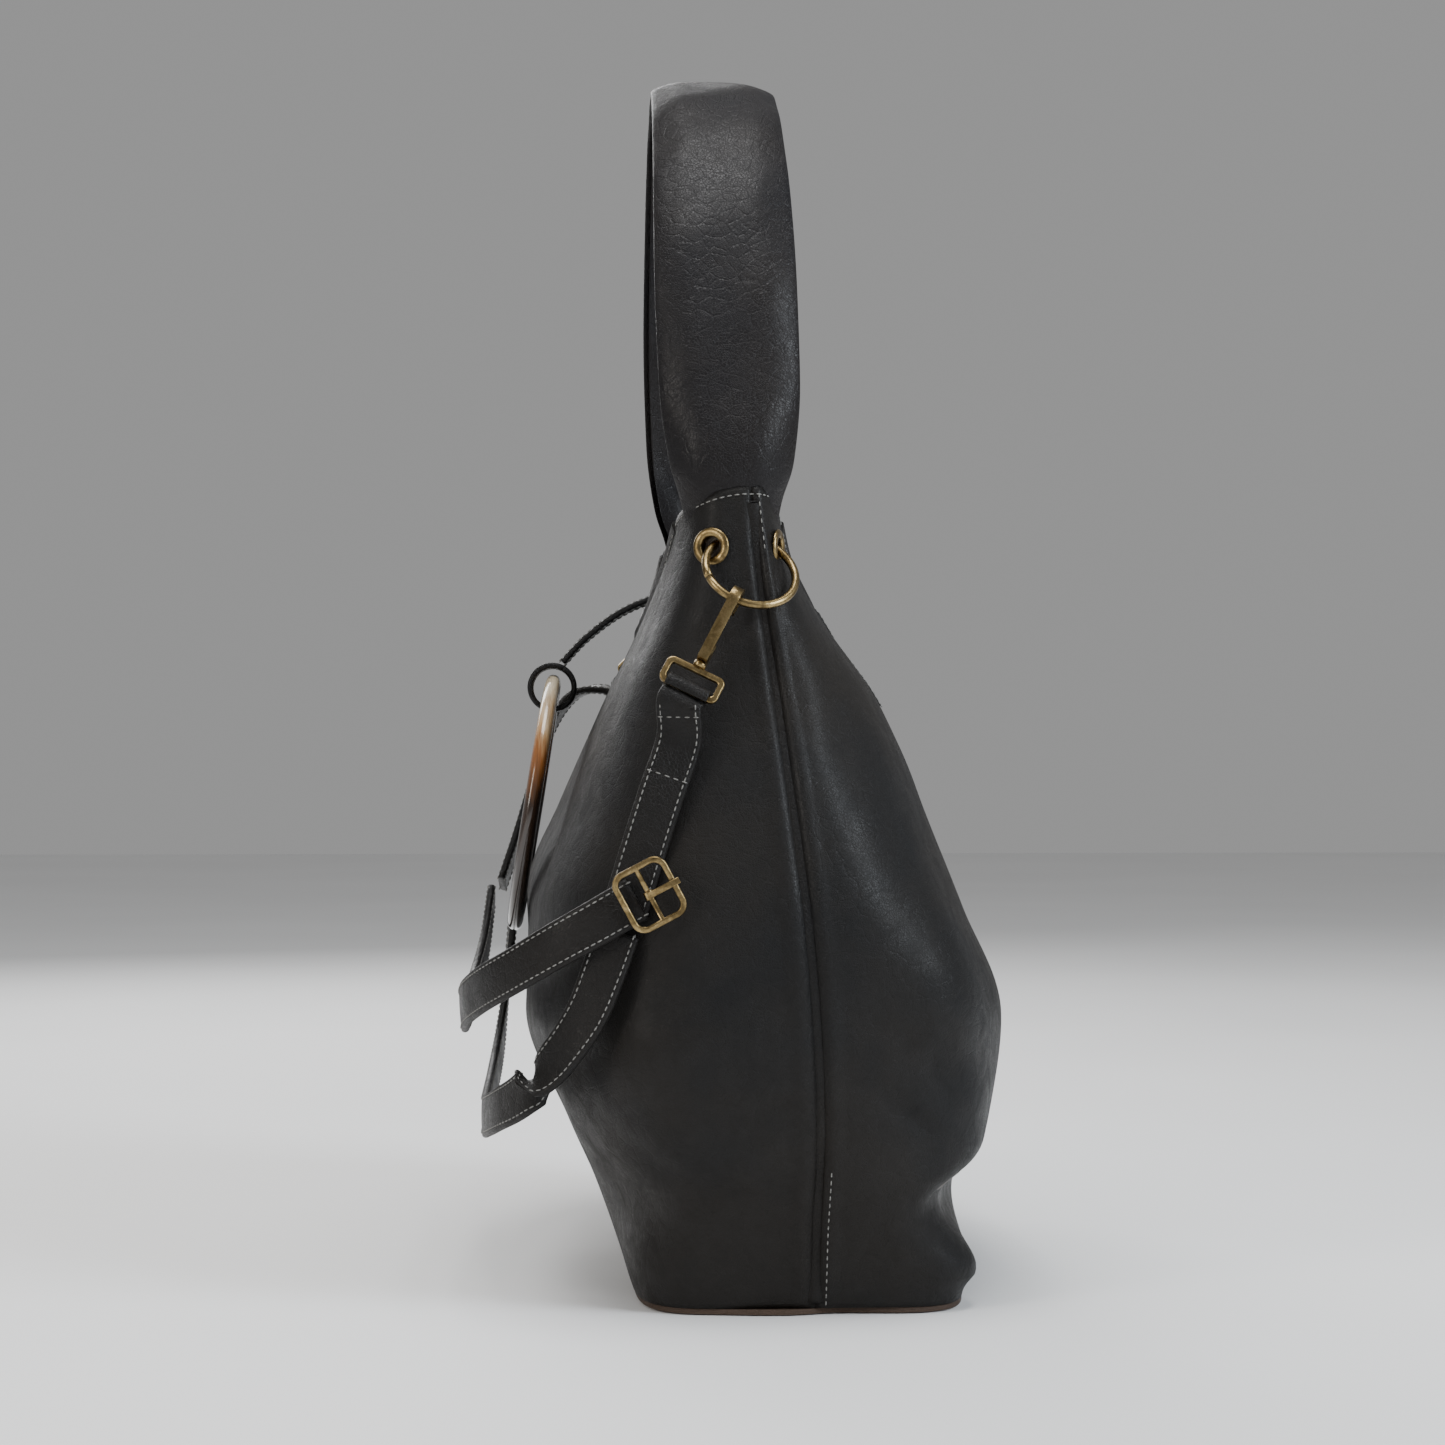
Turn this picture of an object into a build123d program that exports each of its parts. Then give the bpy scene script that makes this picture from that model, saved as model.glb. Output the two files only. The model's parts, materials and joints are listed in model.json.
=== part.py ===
from build123d import *
import math
import os

# A leather slouch shoulder bag with a wide fixed handle, a long clip-on strap and a horn ring closure.
# Millimetres. +X is one end of the bag (the near end), -Y is its front, +Z is up.
# The origin is the middle of the bottom of the base panel.

# ---- driving dimensions -------------------------------------------------------------------------
LEATHER = 2.0            # body leather
LINING_GAP = 0.3
LINING = 0.8
BASE_LEATHER = 2.4
BOARD = 3.0
BODY_TOP = 374.0         # where the handle is sewn on
MOUTH_DIP = 318.0        # lowest point of the mouth edge
MOUTH_HALF = 122.0       # half the length of the mouth
SEAM_GAP = 0.4           # between the two panels at a side seam
PIPING_RADIUS = 1.9
BINDING = 1.0
BINDING_WIDE = 12.0

HANDLE_TOP = 600.0
HANDLE_HALF = 151.0
HANDLE_LEATHER = 3.0
HANDLE_LINING = 1.8

EYELET_Z = 352.0
FRONT_EYELET_Y = -41.0
BACK_EYELET_Y = -9.0
EYELET_HOLE = 5.0
EYELET_RIM = 9.1
EYELET_THICK = 3.6
WALL_HOLE = 9.4

RING_RADIUS = 21.5       # to the middle of the wire
RING_WIRE = 1.9
RING_TILT = 40.0         # the hanging ring leans out from the vertical
RING_JOINT_GAP = 0.5
RING_JOINT_TURN = 78.0    # where the wire's ends meet, hidden near the front eyelet

HOOK_WIDE = 5.0
HOOK_EYE = 4.6
EYE_GAP = 0.8            # between the wire and the top of the eye
HOOK_OUTER = 7.6
HOOK_LONG = 33.0
PIN_RADIUS = 0.8
GATE_WIDE = 2.6
RUNNING = 0.05           # radial clearance of what turns
STUD_RADIUS = 1.5
LOOP_WIDE = 29.0
LOOP_HIGH = 13.5
LOOP_BAR = 3.0

STRAP_WIDE = 21.0
STRAP_THICK = 3.6        # two layers sewn together
HORN_RADIUS = 59.5       # to the middle of the horn section
HORN_HALF = 7.0
HORN_THICK = 4.2         # half of its thickness

# Level: height, half width, seam y, front y, back y, squareness of the front and of the back.
LEVELS = [
    (0.0, 168.0, 6.0, -76.0, 80.0, 7.0, 7.0),
    (34.0, 178.0, 6.0, -90.0, 84.0, 5.0, 5.0),
    (80.0, 190.0, 7.0, -110.0, 97.0, 3.6, 3.6),
    (130.0, 197.0, 5.0, -128.0, 104.0, 3.2, 3.1),
    (180.0, 196.0, 1.0, -128.0, 88.0, 3.2, 2.8),
    (230.0, 188.0, -5.0, -112.0, 69.0, 3.2, 2.6),
    (280.0, 172.0, -11.0, -91.0, 48.0, 3.6, 2.6),
    (325.0, 158.0, -17.0, -70.0, 16.0, 4.0, 2.6),
    (352.0, 154.0, -20.0, -62.0, 1.0, 4.0, 2.6),
    (BODY_TOP, 152.0, -22.0, -59.0, -3.0, 4.0, 2.6),
]


# ---- small helpers ------------------------------------------------------------------------------
def level_at(z):
    """The section's values at a height, straight between the levels."""
    for low, high in zip(LEVELS, LEVELS[1:]):
        if z <= high[0]:
            share = (z - low[0]) / (high[0] - low[0])
            return tuple(a + (b - a) * share for a, b in zip(low, high))
    return LEVELS[-1]


def wall_x(z, y):
    """How far out the near wall stands at a height and a y."""
    _, half, seam, front, back, square_front, square_back = level_at(z)
    edge, square = (front, square_front) if y < seam else (back, square_back)
    share = abs((y - seam) / (edge - seam))
    return half * (1 - share**square) ** (1 / square)


def wall_normal(z, y):
    """The level direction in which the near wall faces."""
    _, half, seam, front, back, square_front, square_back = level_at(z)
    edge, square = (front, square_front) if y < seam else (back, square_back)
    share = (y - seam) / (edge - seam)
    along_x = (wall_x(z, y) / half) ** (square - 1) / half
    along_y = abs(share) ** (square - 1) / (edge - seam)
    return Vector(along_x, along_y, 0).normalized()


def section_points(level, inset, count=40):
    _, half, seam, front, back, square_front, square_back = level
    points = []
    for i in range(count):
        turn = 2 * math.pi * i / count
        c, s = math.cos(turn), math.sin(turn)
        edge, square = (front + inset, square_front) if s < 0 else (back - inset, square_back)
        x = (half - inset) * math.copysign(abs(c) ** (2 / square), c)
        y = seam + abs(edge - seam) * math.copysign(abs(s) ** (2 / square), s)
        points.append((x, y))
    return points


def body_solid(inset, bottom, top=BODY_TOP):
    """The filled body shape, drawn in by an inset, between two heights."""
    heights = [bottom] + [l[0] for l in LEVELS if bottom + 5 < l[0] < top - 5] + [top]
    wires = []
    for z in heights:
        points = [Vector(x, y, z) for x, y in section_points(level_at(z), inset)]
        wires.append(Wire([Edge.make_spline(points, periodic=True)]))
    return Solid.make_loft(wires)


def lens_above_mouth():
    """What is cut away above the sagging mouth edge."""
    with_arc = ThreePointArc((-MOUTH_HALF, BODY_TOP), (0, MOUTH_DIP), (MOUTH_HALF, BODY_TOP))
    rise = 30
    lines = Polyline((MOUTH_HALF, BODY_TOP), (MOUTH_HALF, BODY_TOP + rise),
                     (-MOUTH_HALF, BODY_TOP + rise), (-MOUTH_HALF, BODY_TOP))
    face = make_face(Plane.XZ * (Curve() + [with_arc, lines]))
    return extrude(face, 150, both=True)


def half_space(front, gap):
    """A slab in front of (or behind) the side seam, which leans forward as it rises."""
    points = [(l[2], l[0]) for l in LEVELS]
    shift = -gap / 2 if front else gap / 2
    far = -260 if front else 260
    low, high = -5, BODY_TOP + 40
    outline = [(points[0][0] + shift, low)] + [(y + shift, z) for y, z in points]
    outline += [(points[-1][0] + shift, high), (far, high), (far, low)]
    face = make_face(Plane.YZ * Polyline(*outline, close=True))
    return extrude(face, 300, both=True)


def both_ends(shape):
    return [shape, shape.mirror(Plane.YZ)]


def axis_cylinder(centre, direction, radius, length):
    return Plane(origin=centre, z_dir=direction) * Cylinder(radius, length)


def save(shape, node):
    if isinstance(shape, (list, ShapeList)):
        shape = Compound(children=list(shape)) if len(shape) > 1 else shape[0]
    solids = shape.solids()
    if len(solids) == 1:
        shape = solids[0]
    export_step(shape, f"parts/{node}.step")


def ribbon(stations, wide, thick):
    """A flat strap through stations of (place, across): one closed solid of flat faces."""
    places = [Vector(*p) for p, _ in stations]
    corners = []
    for i, (p, across) in enumerate(zip(places, [Vector(*a) for _, a in stations])):
        along = (places[min(i + 1, len(places) - 1)] - places[max(i - 1, 0)]).normalized()
        across = (across - along * across.dot(along)).normalized()
        face = along.cross(across).normalized()
        w, t = across * (wide / 2), face * (thick / 2)
        corners.append([p + w + t, p - w + t, p - w - t, p + w - t])
    faces = []
    for a, b in zip(corners, corners[1:]):
        for k in range(4):
            m = (k + 1) % 4
            faces.append(Face(Wire.make_polygon([a[k], a[m], b[m]])))
            faces.append(Face(Wire.make_polygon([a[k], b[m], b[k]])))
    faces.append(Face(Wire.make_polygon(corners[0])))
    faces.append(Face(Wire.make_polygon(corners[-1])))
    return Solid(Shell(faces))


# ---- body ---------------------------------------------------------------------------------------
def eyelet_places():
    front = Vector(wall_x(EYELET_Z, FRONT_EYELET_Y), FRONT_EYELET_Y, EYELET_Z)
    back = Vector(wall_x(EYELET_Z, BACK_EYELET_Y), BACK_EYELET_Y, EYELET_Z)
    normals = [wall_normal(EYELET_Z, y) for y in (FRONT_EYELET_Y, BACK_EYELET_Y)]
    half_wall = (LEATHER + LINING_GAP + LINING) / 2
    return [(p - n * half_wall, n) for p, n in zip((front, back), normals)]


def wall_holes():
    holes = []
    for place, normal in eyelet_places():
        holes += both_ends(axis_cylinder(place, normal, WALL_HOLE, 14))
    return holes


def body_parts():
    bottom = BASE_LEATHER + 0.3
    cut_top = lens_above_mouth()
    holes = wall_holes()
    outer = body_solid(0, bottom)
    hollow = body_solid(LEATHER, bottom)
    shell = outer - hollow - cut_top - holes
    front = shell & half_space(True, SEAM_GAP)
    back = shell & half_space(False, SEAM_GAP)
    save(front, "front_panel")
    save(back, "back_panel")

    inset = LEATHER + LINING_GAP
    cloth = body_solid(inset, bottom)
    room = body_solid(inset + LINING, bottom + LINING, BODY_TOP)
    lining = cloth - room - cut_top - holes
    save(lining, "lining")

    base = extrude(make_face(Edge.make_spline(
        [Vector(x, y, 0) for x, y in section_points(LEVELS[0], 0)], periodic=True)), BASE_LEATHER)
    save(base, "base_panel")
    board_z = bottom + LINING + 0.3
    board_level = level_at(board_z)
    outline = [Vector(x, y, board_z) for x, y in section_points(board_level, 8)]
    save(extrude(make_face(Edge.make_spline(outline, periodic=True)), BOARD), "base_board")


def seam_pipings():
    """The raised fold that runs down each end, just outside the join of the panels."""
    route = []
    for z in range(10, 330, 20):
        seam = level_at(z)[2]
        route.append((level_at(z)[1] + 0.8, seam, z))
    stations = [(p, (0, 1, 0)) for p in route]
    fold = ribbon(stations, 2 * PIPING_RADIUS, 2 * PIPING_RADIUS)
    body = body_solid(-0.4, 3.0)
    for shape, end in zip(both_ends(fold), ("near", "far")):
        save(shape - body, f"{end}_seam_piping")


def mouth_binding():
    """A narrow strip inside the mouth edge, one along the front and one along the back."""
    inset = LEATHER + 2 * LINING_GAP + LINING
    band = body_solid(inset, 250) - body_solid(inset + BINDING, 249) - wall_holes()
    cut = lens_above_mouth()
    save((band - cut) & cut.moved(Location((0, 0, -BINDING_WIDE))), "mouth_binding")


# ---- handle -------------------------------------------------------------------------------------
def handle_layer(inset, thick, narrow):
    start = BODY_TOP + 0.3
    rise = HANDLE_TOP - start
    centre = Plane(origin=(0, 0, start), x_dir=(1, 0, 0), z_dir=(0, -1, 0))
    outer = Ellipse(HANDLE_HALF - inset, rise - inset)
    inner = Ellipse(HANDLE_HALF - inset - thick, rise - inset - thick)
    arch = extrude(centre * (outer - inner), 120, both=True)
    front = Spline((-58 + narrow, start), (-65 + narrow, 420), (-67 + narrow, 500), (-66 + narrow, 622))
    back = Spline((-3 - narrow, start), (1 - narrow, 420), (0 - narrow, 500), (-5 - narrow, 622))
    ends = [Line(front @ 0, back @ 0), Line(front @ 1, back @ 1)]
    band = extrude(make_face(Plane.YZ * (Curve() + [front, back] + ends)), 200, both=True)
    return arch & band


def handle():
    save(handle_layer(0, HANDLE_LEATHER, 0), "handle_band")
    save(handle_layer(HANDLE_LEATHER + 0.2, HANDLE_LINING, 2.5), "handle_lining")


# ---- eyelets and rings --------------------------------------------------------------------------
def eyelets():
    for (place, normal), side in zip(eyelet_places(), ("front", "back")):
        body = Cylinder(EYELET_RIM, EYELET_THICK) - Cylinder(EYELET_HOLE, EYELET_THICK)
        body = fillet(body.edges(), 1.1)
        near = Plane(origin=place, z_dir=normal) * body
        save(near, f"near_{side}_eyelet")
        save(near.mirror(Plane.YZ), f"far_{side}_eyelet")


def ring_frame():
    """(centre, chord direction, downward direction in the ring's plane, middle of the chord)."""
    (front, _), (back, _) = eyelet_places()
    chord = (back - front).normalized()
    out = Vector(chord.Y, -chord.X, 0)
    tilt = math.radians(RING_TILT)
    down = out * math.sin(tilt) - Vector(0, 0, math.cos(tilt))
    middle = (front + back) * 0.5
    reach = math.sqrt(RING_RADIUS**2 - ((back - front).length / 2) ** 2)
    return middle + down * reach, chord, down, middle


def ring_point(turn):
    """A point on the wire, turned from its lowest point towards the front eyelet, in degrees."""
    centre, chord, down, _ = ring_frame()
    angle = math.radians(turn)
    return centre + down * (RING_RADIUS * math.cos(angle)) - chord * (RING_RADIUS * math.sin(angle))


def ring_tangent(turn):
    return ring_point(turn + 1) - ring_point(turn - 1)


def rings():
    centre, chord, down, _ = ring_frame()
    face = Plane(origin=centre, x_dir=chord, z_dir=chord.cross(down))
    ring = face * Torus(RING_RADIUS, RING_WIRE)
    joint = ring_point(RING_JOINT_TURN)
    along = ring_tangent(RING_JOINT_TURN).normalized()
    ring = ring - Plane(origin=joint, z_dir=along) * Box(9, 9, RING_JOINT_GAP)
    save(ring, "near_ring")
    save(ring.mirror(Plane.YZ), "far_ring")


# ---- snap hooks ---------------------------------------------------------------------------------
class HookPlace:
    """Where a snap hook hangs: its eye's centre, and its long, outward and across directions."""

    def __init__(self, wire, tangent, long):
        self.long = Vector(*long).normalized()
        self.across = (tangent - self.long * tangent.dot(self.long)).normalized()
        self.out = self.across.cross(self.long)
        if self.out.X * wire.X < 0:
            self.across = self.across * -1
            self.out = self.out * -1
        self.eye = wire + self.long * (HOOK_EYE - RING_WIRE - EYE_GAP)

    def at(self, out, down, across=0.0):
        """A point of the hook, from the eye's centre."""
        return self.eye + self.out * out + self.long * down + self.across * across


def mirrored(v):
    return Vector(-v.X, v.Y, v.Z)


NEAR_TURN, FAR_TURN = 33.0, 50.0
NEAR_LONG = (0.31, -0.45, -0.84)
FAR_LONG = (-0.34, -0.68, -0.65)
NEAR_HOOK = HookPlace(ring_point(NEAR_TURN), ring_tangent(NEAR_TURN), NEAR_LONG)
FAR_HOOK = HookPlace(mirrored(ring_point(FAR_TURN)), mirrored(ring_tangent(FAR_TURN)), FAR_LONG)
GATE_PIN = (-2.9, 24.6)


def hook_polygon(place, points, wide, offset=0.0):
    """Extrudes an outline given as (out, down) pairs across the hook."""
    corners = [place.at(u, v, offset - wide / 2) for u, v in points]
    return Solid.extrude(Face(Wire.make_polygon(corners)), place.across * wide)


def across_cylinder(place, out, down, radius, length):
    return axis_cylinder(place.at(out, down), place.across, radius, length)


def hook_parts(place, end):
    # The eye is a round bend, open on its inner lower side.
    eye = across_cylinder(place, 0, 0, HOOK_OUTER, HOOK_WIDE)
    eye = eye - across_cylinder(place, 0, 0, HOOK_EYE, HOOK_WIDE + 2)
    mouth_outline = [(-12, 3.4), (3.4, 3.4), (3.4, 14), (-12, 14)]
    eye = eye - hook_polygon(place, mouth_outline, HOOK_WIDE + 2)
    spine_outline = [(HOOK_EYE, -0.5), (HOOK_OUTER - 0.02, -0.5), (6.0, HOOK_LONG),
                     (-4.6, HOOK_LONG), (-4.6, 28.0), (2.8, 28.0)]
    spine = hook_polygon(place, spine_outline, HOOK_WIDE)
    cheek_outline = [(-4.6, 29), (-4.6, 22.4), (-0.6, 22.4), (1.2, 29)]
    cheeks = [hook_polygon(place, cheek_outline, 1.0, side * 2.0) for side in (-1, 1)]
    bore = axis_cylinder(place.at(0, HOOK_LONG), place.long, STUD_RADIUS + RUNNING, 16)
    pin_hole = across_cylinder(place, *GATE_PIN, PIN_RADIUS, 20)
    body = eye + spine + cheeks - bore - pin_hole
    save(body, f"{end}_hook_body")
    save(across_cylinder(place, *GATE_PIN, PIN_RADIUS, HOOK_WIDE), f"{end}_gate_pin")

    gate_outline = [(-7.4, 4.1), (-4.9, 4.1), (-1.3, 23.6), (-1.3, 26.2), (-4.3, 26.2), (-4.4, 23.2)]
    gate = hook_polygon(place, gate_outline, GATE_WIDE)
    lug = hook_polygon(place, [(-8.8, 7.2), (-6.9, 6.4), (-6.2, 10.4), (-8.4, 10.0)], GATE_WIDE)
    gate = gate + lug - across_cylinder(place, *GATE_PIN, PIN_RADIUS + RUNNING, 10)
    save(gate, f"{end}_gate")

    head = axis_cylinder(place.at(0, 26.9), place.long, 1.5, 1.4)
    stud = axis_cylinder(place.at(0, 31.5), place.long, STUD_RADIUS, 8.6)
    collar = axis_cylinder(place.at(0, 34.7), place.long, 3.1, 2.6)
    loop_plane = Plane(origin=place.at(0, 36.0 + LOOP_HIGH / 2), x_dir=place.across, z_dir=place.out)
    frame = RectangleRounded(LOOP_WIDE, LOOP_HIGH, 3.6) - RectangleRounded(
        LOOP_WIDE - 2 * LOOP_BAR, LOOP_HIGH - 2 * LOOP_BAR, 1.4)
    frame = extrude(frame, LOOP_BAR / 2, both=True)
    frame = fillet(frame.edges(), 0.9)
    loop = loop_plane * frame + stud + collar + head
    save(loop, f"{end}_strap_loop")


def loop_bar(place):
    """The middle of the loop's lower bar, which carries the strap."""
    return place.at(0, 36.0 + LOOP_HIGH - LOOP_BAR / 2)


# ---- strap --------------------------------------------------------------------------------------
def strap_fold(place, route, node):
    """A strap's end, folded round the loop's bar, and the run that leaves it."""
    bar = loop_bar(place)
    rod = LOOP_BAR / 2 * 1.42 + 0.3
    outer = rod + 1.8
    fold = axis_cylinder(bar, place.across, outer, STRAP_WIDE) - axis_cylinder(bar, place.across, rod, 40)
    side = 1 if place.across.Y > 0 else -1
    start = bar + place.long * (rod + 0.1)
    tongue = bar + place.long * (rod + 5.0)
    first = [(tuple(start), tuple(place.across * side)), (tuple(tongue), tuple(place.across * side))]
    run = ribbon(first + route, STRAP_WIDE, STRAP_THICK)
    whole = fold + run - axis_cylinder(bar, place.across, rod, 40)
    save(whole, node)


NEAR_END = [
    ((183.0, -57, 262), (0.10, 0.93, -0.34)),
    ((186.5, -65, 238), (0.10, 0.95, -0.28)),
    ((188.0, -73, 213), (0.12, 0.95, -0.28)),
    ((188.5, -82, 184), (0.14, 0.94, -0.28)),
]
LONG_RUN = [
    ((188.5, -85, 176), (0.15, 0.94, -0.28)),
    ((188.0, -91, 158), (0.30, 0.90, -0.28)),
    ((185.0, -99, 138), (0.45, 0.82, -0.25)),
    ((178.0, -112, 118), (0.62, 0.72, 0.15)),
    ((164.0, -127, 101), (0.50, 0.35, 0.70)),
    ((140.0, -139, 91), (0.15, 0.12, 0.97)),
    ((105.0, -145, 84), (0.05, 0.05, 1)),
    ((60.0, -148, 78), (0, 0, 1)),
    ((10.0, -149, 76), (0, 0, 1)),
    ((-40.0, -148, 82), (0, 0, 1)),
    ((-80.0, -145, 100), (0.35, 0, 0.93)),
    ((-106.0, -142, 130), (0.75, 0.1, 0.65)),
    ((-119.0, -139, 165), (0.95, 0.1, 0.28)),
]
BUCKLE_RUN = [
    ((193.9, -76, 191), (0.10, 0.42, -0.90)),
    ((193.1, -93, 181), (0.16, 0.47, -0.86)),
    ((188.0, -112, 170), (0.30, 0.42, -0.86)),
    ((174.0, -131, 158), (0.36, 0.30, -0.88)),
    ((152.0, -146, 148), (0.20, 0.18, -0.96)),
    ((120.0, -155, 139), (0.08, 0.1, -1)),
    ((75.0, -158, 131), (0, 0.05, -1)),
    ((25.0, -158.5, 128), (0, 0, -1)),
    ((-25.0, -157, 134), (-0.2, 0, -0.97)),
    ((-66.0, -153, 152), (-0.6, 0, -0.8)),
    ((-92.0, -150, 178), (-0.88, 0, -0.45)),
]
FAR_END = [
    ((-178, -76, 290), (-0.98, 0.1, 0.1)),
    ((-174, -92, 293), (-0.98, -0.05, 0.1)),
    ((-168, -108, 287), (-0.97, 0.05, -0.2)),
    ((-160, -119, 270), (-0.96, 0.05, -0.25)),
    ((-148, -127, 243), (-0.95, 0.05, -0.28)),
    ((-135, -136, 212), (-0.94, 0.05, -0.30)),
    ((-123, -145, 184), (-0.93, 0.05, -0.32)),
]


def straps():
    strap_fold(NEAR_HOOK, NEAR_END, "near_strap_end")
    strap_fold(FAR_HOOK, FAR_END, "far_strap_end")
    save(ribbon(LONG_RUN, STRAP_WIDE, STRAP_THICK), "long_run")
    save(ribbon(BUCKLE_RUN, STRAP_WIDE, STRAP_THICK), "buckle_run")


# ---- buckle -------------------------------------------------------------------------------------
BUCKLE_PLANE = Plane(origin=(195.1, -70.5, 193.5), x_dir=(0.05, 0.88, 0.47), z_dir=(0.99, -0.02, -0.08))
BUCKLE_LONG = 27.0
BUCKLE_HIGH = 30.0
BUCKLE_WIRE = 2.8
PRONG_RADIUS = 1.2
BUCKLE_LIFT = 4.5        # above the strap it lies on


def buckle():
    outline = RectangleRounded(BUCKLE_LONG, BUCKLE_HIGH, 6.5)
    window = RectangleRounded(BUCKLE_LONG - 2 * BUCKLE_WIRE, BUCKLE_HIGH - 2 * BUCKLE_WIRE, 4.0)
    frame = extrude(outline - window, BUCKLE_WIRE / 2, both=True)
    frame = fillet(frame.edges(), 0.9)
    bar = Rotation(90, 0, 0) * Cylinder(PRONG_RADIUS, BUCKLE_HIGH - BUCKLE_WIRE)
    save(BUCKLE_PLANE * Pos(0, 0, BUCKLE_LIFT) * (frame + bar), "buckle_frame")
    barrel = Rotation(90, 0, 0) * (Cylinder(2.4, 3.6) - Cylinder(PRONG_RADIUS + RUNNING, 5))
    reach = BUCKLE_LONG / 2 + 1.6
    tongue = Pos(reach / 2, 0, 2.7) * Box(reach, 3.0, 1.7)
    tongue = fillet(tongue.edges().filter_by(Axis.X), 0.5)
    prong = barrel + tongue
    save(BUCKLE_PLANE * Pos(0, 0, BUCKLE_LIFT) * prong, "buckle_prong")


# ---- closure ------------------------------------------------------------------------------------
TAB_WIDE = 26.0
TAB_THICK = 3.0
HORN_TOP = (0.0, -116.0, 290.0)
HORN_LEAN = 9.0
GRIP_HOLE = 9.8
GRIP_OUTER = 12.6


def closure_tab():
    """A leather tab sewn to the back panel, over the mouth, to the horn ring it holds."""
    side = (1, 0, 0)
    stand = TAB_THICK / 2 + 1.5
    sewn = [((0, level_at(z)[4] + stand, z), side) for z in (280, 290, 300, 309)]
    route = [
        ((0, level_at(312)[4] + stand, 312), side), ((0, 23.0, 321), side), ((0, 16.5, 330), side),
        ((0, 3.0, 338.5), side),
        ((0, -15.0, 342), side), ((0, -38.0, 341), side), ((0, -60.0, 337), side), ((0, -80.0, 329), side),
        ((0, -98.0, 316), side), ((0, -112.5, 300.5), side),
    ]
    save(ribbon(sewn, TAB_WIDE, TAB_THICK), "tab_base")
    strip = ribbon(route, TAB_WIDE, TAB_THICK)
    top = Vector(*HORN_TOP)
    room = axis_cylinder(top, Vector(1, 0, 0), GRIP_HOLE, 60)
    grip = axis_cylinder(top, Vector(1, 0, 0), GRIP_OUTER, TAB_WIDE)
    save(strip + grip - room, "closure_tab")


def horn():
    lean = math.radians(HORN_LEAN)
    centre = Vector(*HORN_TOP) + Vector(0, -math.sin(lean), -math.cos(lean)) * HORN_RADIUS
    face = Plane(origin=centre, x_dir=(1, 0, 0), z_dir=(0, math.cos(lean), -math.sin(lean)))
    profile = Plane.XZ * Pos(HORN_RADIUS, 0) * RectangleRounded(2 * HORN_HALF, 2 * HORN_THICK, HORN_THICK - 0.3)
    save(face * revolve(profile, Axis.Z), "horn_ring")


os.makedirs("parts", exist_ok=True)
if __name__ == "__main__":
    body_parts()
    seam_pipings()
    mouth_binding()
    handle()
    eyelets()
    rings()
    hook_parts(NEAR_HOOK, "near")
    hook_parts(FAR_HOOK, "far")
    straps()
    buckle()
    closure_tab()
    horn()
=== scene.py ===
# %% [markdown]
# # A black leather shoulder bag
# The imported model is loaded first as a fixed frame. It says where each part is and how it moves.
# Everything below only makes that frame look like leather, brass, thread and horn.

# %% Load the frame
import json
import math
import bpy
import bmesh
import numpy as np
from mathutils import Matrix, Vector

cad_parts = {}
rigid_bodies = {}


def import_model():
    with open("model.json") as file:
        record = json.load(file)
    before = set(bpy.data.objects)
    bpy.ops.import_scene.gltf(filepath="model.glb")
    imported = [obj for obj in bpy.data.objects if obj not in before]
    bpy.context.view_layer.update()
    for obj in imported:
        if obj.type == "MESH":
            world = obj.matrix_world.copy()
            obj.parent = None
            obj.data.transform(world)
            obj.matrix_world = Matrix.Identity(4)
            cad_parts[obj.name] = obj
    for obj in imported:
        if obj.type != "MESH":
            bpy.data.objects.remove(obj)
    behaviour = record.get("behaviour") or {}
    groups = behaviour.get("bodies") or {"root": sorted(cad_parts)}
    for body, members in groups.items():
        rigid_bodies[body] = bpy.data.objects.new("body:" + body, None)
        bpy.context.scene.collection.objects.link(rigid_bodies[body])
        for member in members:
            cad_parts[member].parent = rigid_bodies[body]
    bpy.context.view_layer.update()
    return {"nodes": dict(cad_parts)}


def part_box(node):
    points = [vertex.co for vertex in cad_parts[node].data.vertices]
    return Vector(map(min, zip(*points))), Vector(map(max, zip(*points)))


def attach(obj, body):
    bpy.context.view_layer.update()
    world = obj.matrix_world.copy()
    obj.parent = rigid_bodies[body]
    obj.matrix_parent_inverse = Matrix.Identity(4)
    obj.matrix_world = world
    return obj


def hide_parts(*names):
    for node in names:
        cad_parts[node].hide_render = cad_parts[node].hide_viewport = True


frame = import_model()
MM = 0.001

# %% [markdown]
# ## Small helpers
# A mesh is made from plain lists of corners and faces. Most pieces of this bag are grids, which are
# bent into shape by a formula, so one helper turns any grid of points into faces.

# %% Mesh helpers
def mesh_piece(name, points, faces, material, smooth=True):
    mesh = bpy.data.meshes.new(name)
    mesh.from_pydata([tuple(p) for p in points], [], faces)
    mesh.materials.append(material)
    piece = bpy.data.objects.new(name, mesh)
    bpy.context.scene.collection.objects.link(piece)
    work = bmesh.new()
    work.from_mesh(mesh)
    bmesh.ops.recalc_face_normals(work, faces=work.faces)
    work.to_mesh(mesh)
    work.free()
    mesh.polygons.foreach_set("use_smooth", [smooth] * len(mesh.polygons))
    return piece


def grid_faces(rows, columns, start=0, wrap=False):
    last = columns if wrap else columns - 1
    return [(start + r * columns + c, start + r * columns + (c + 1) % columns,
             start + (r + 1) * columns + (c + 1) % columns, start + (r + 1) * columns + c)
            for r in range(rows - 1) for c in range(last)]


def baked(piece):
    """The piece with its modifiers made real."""
    bpy.context.view_layer.update()
    done = bpy.data.meshes.new_from_object(piece.evaluated_get(bpy.context.evaluated_depsgraph_get()))
    piece.modifiers.clear()
    piece.data = done
    return piece


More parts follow.
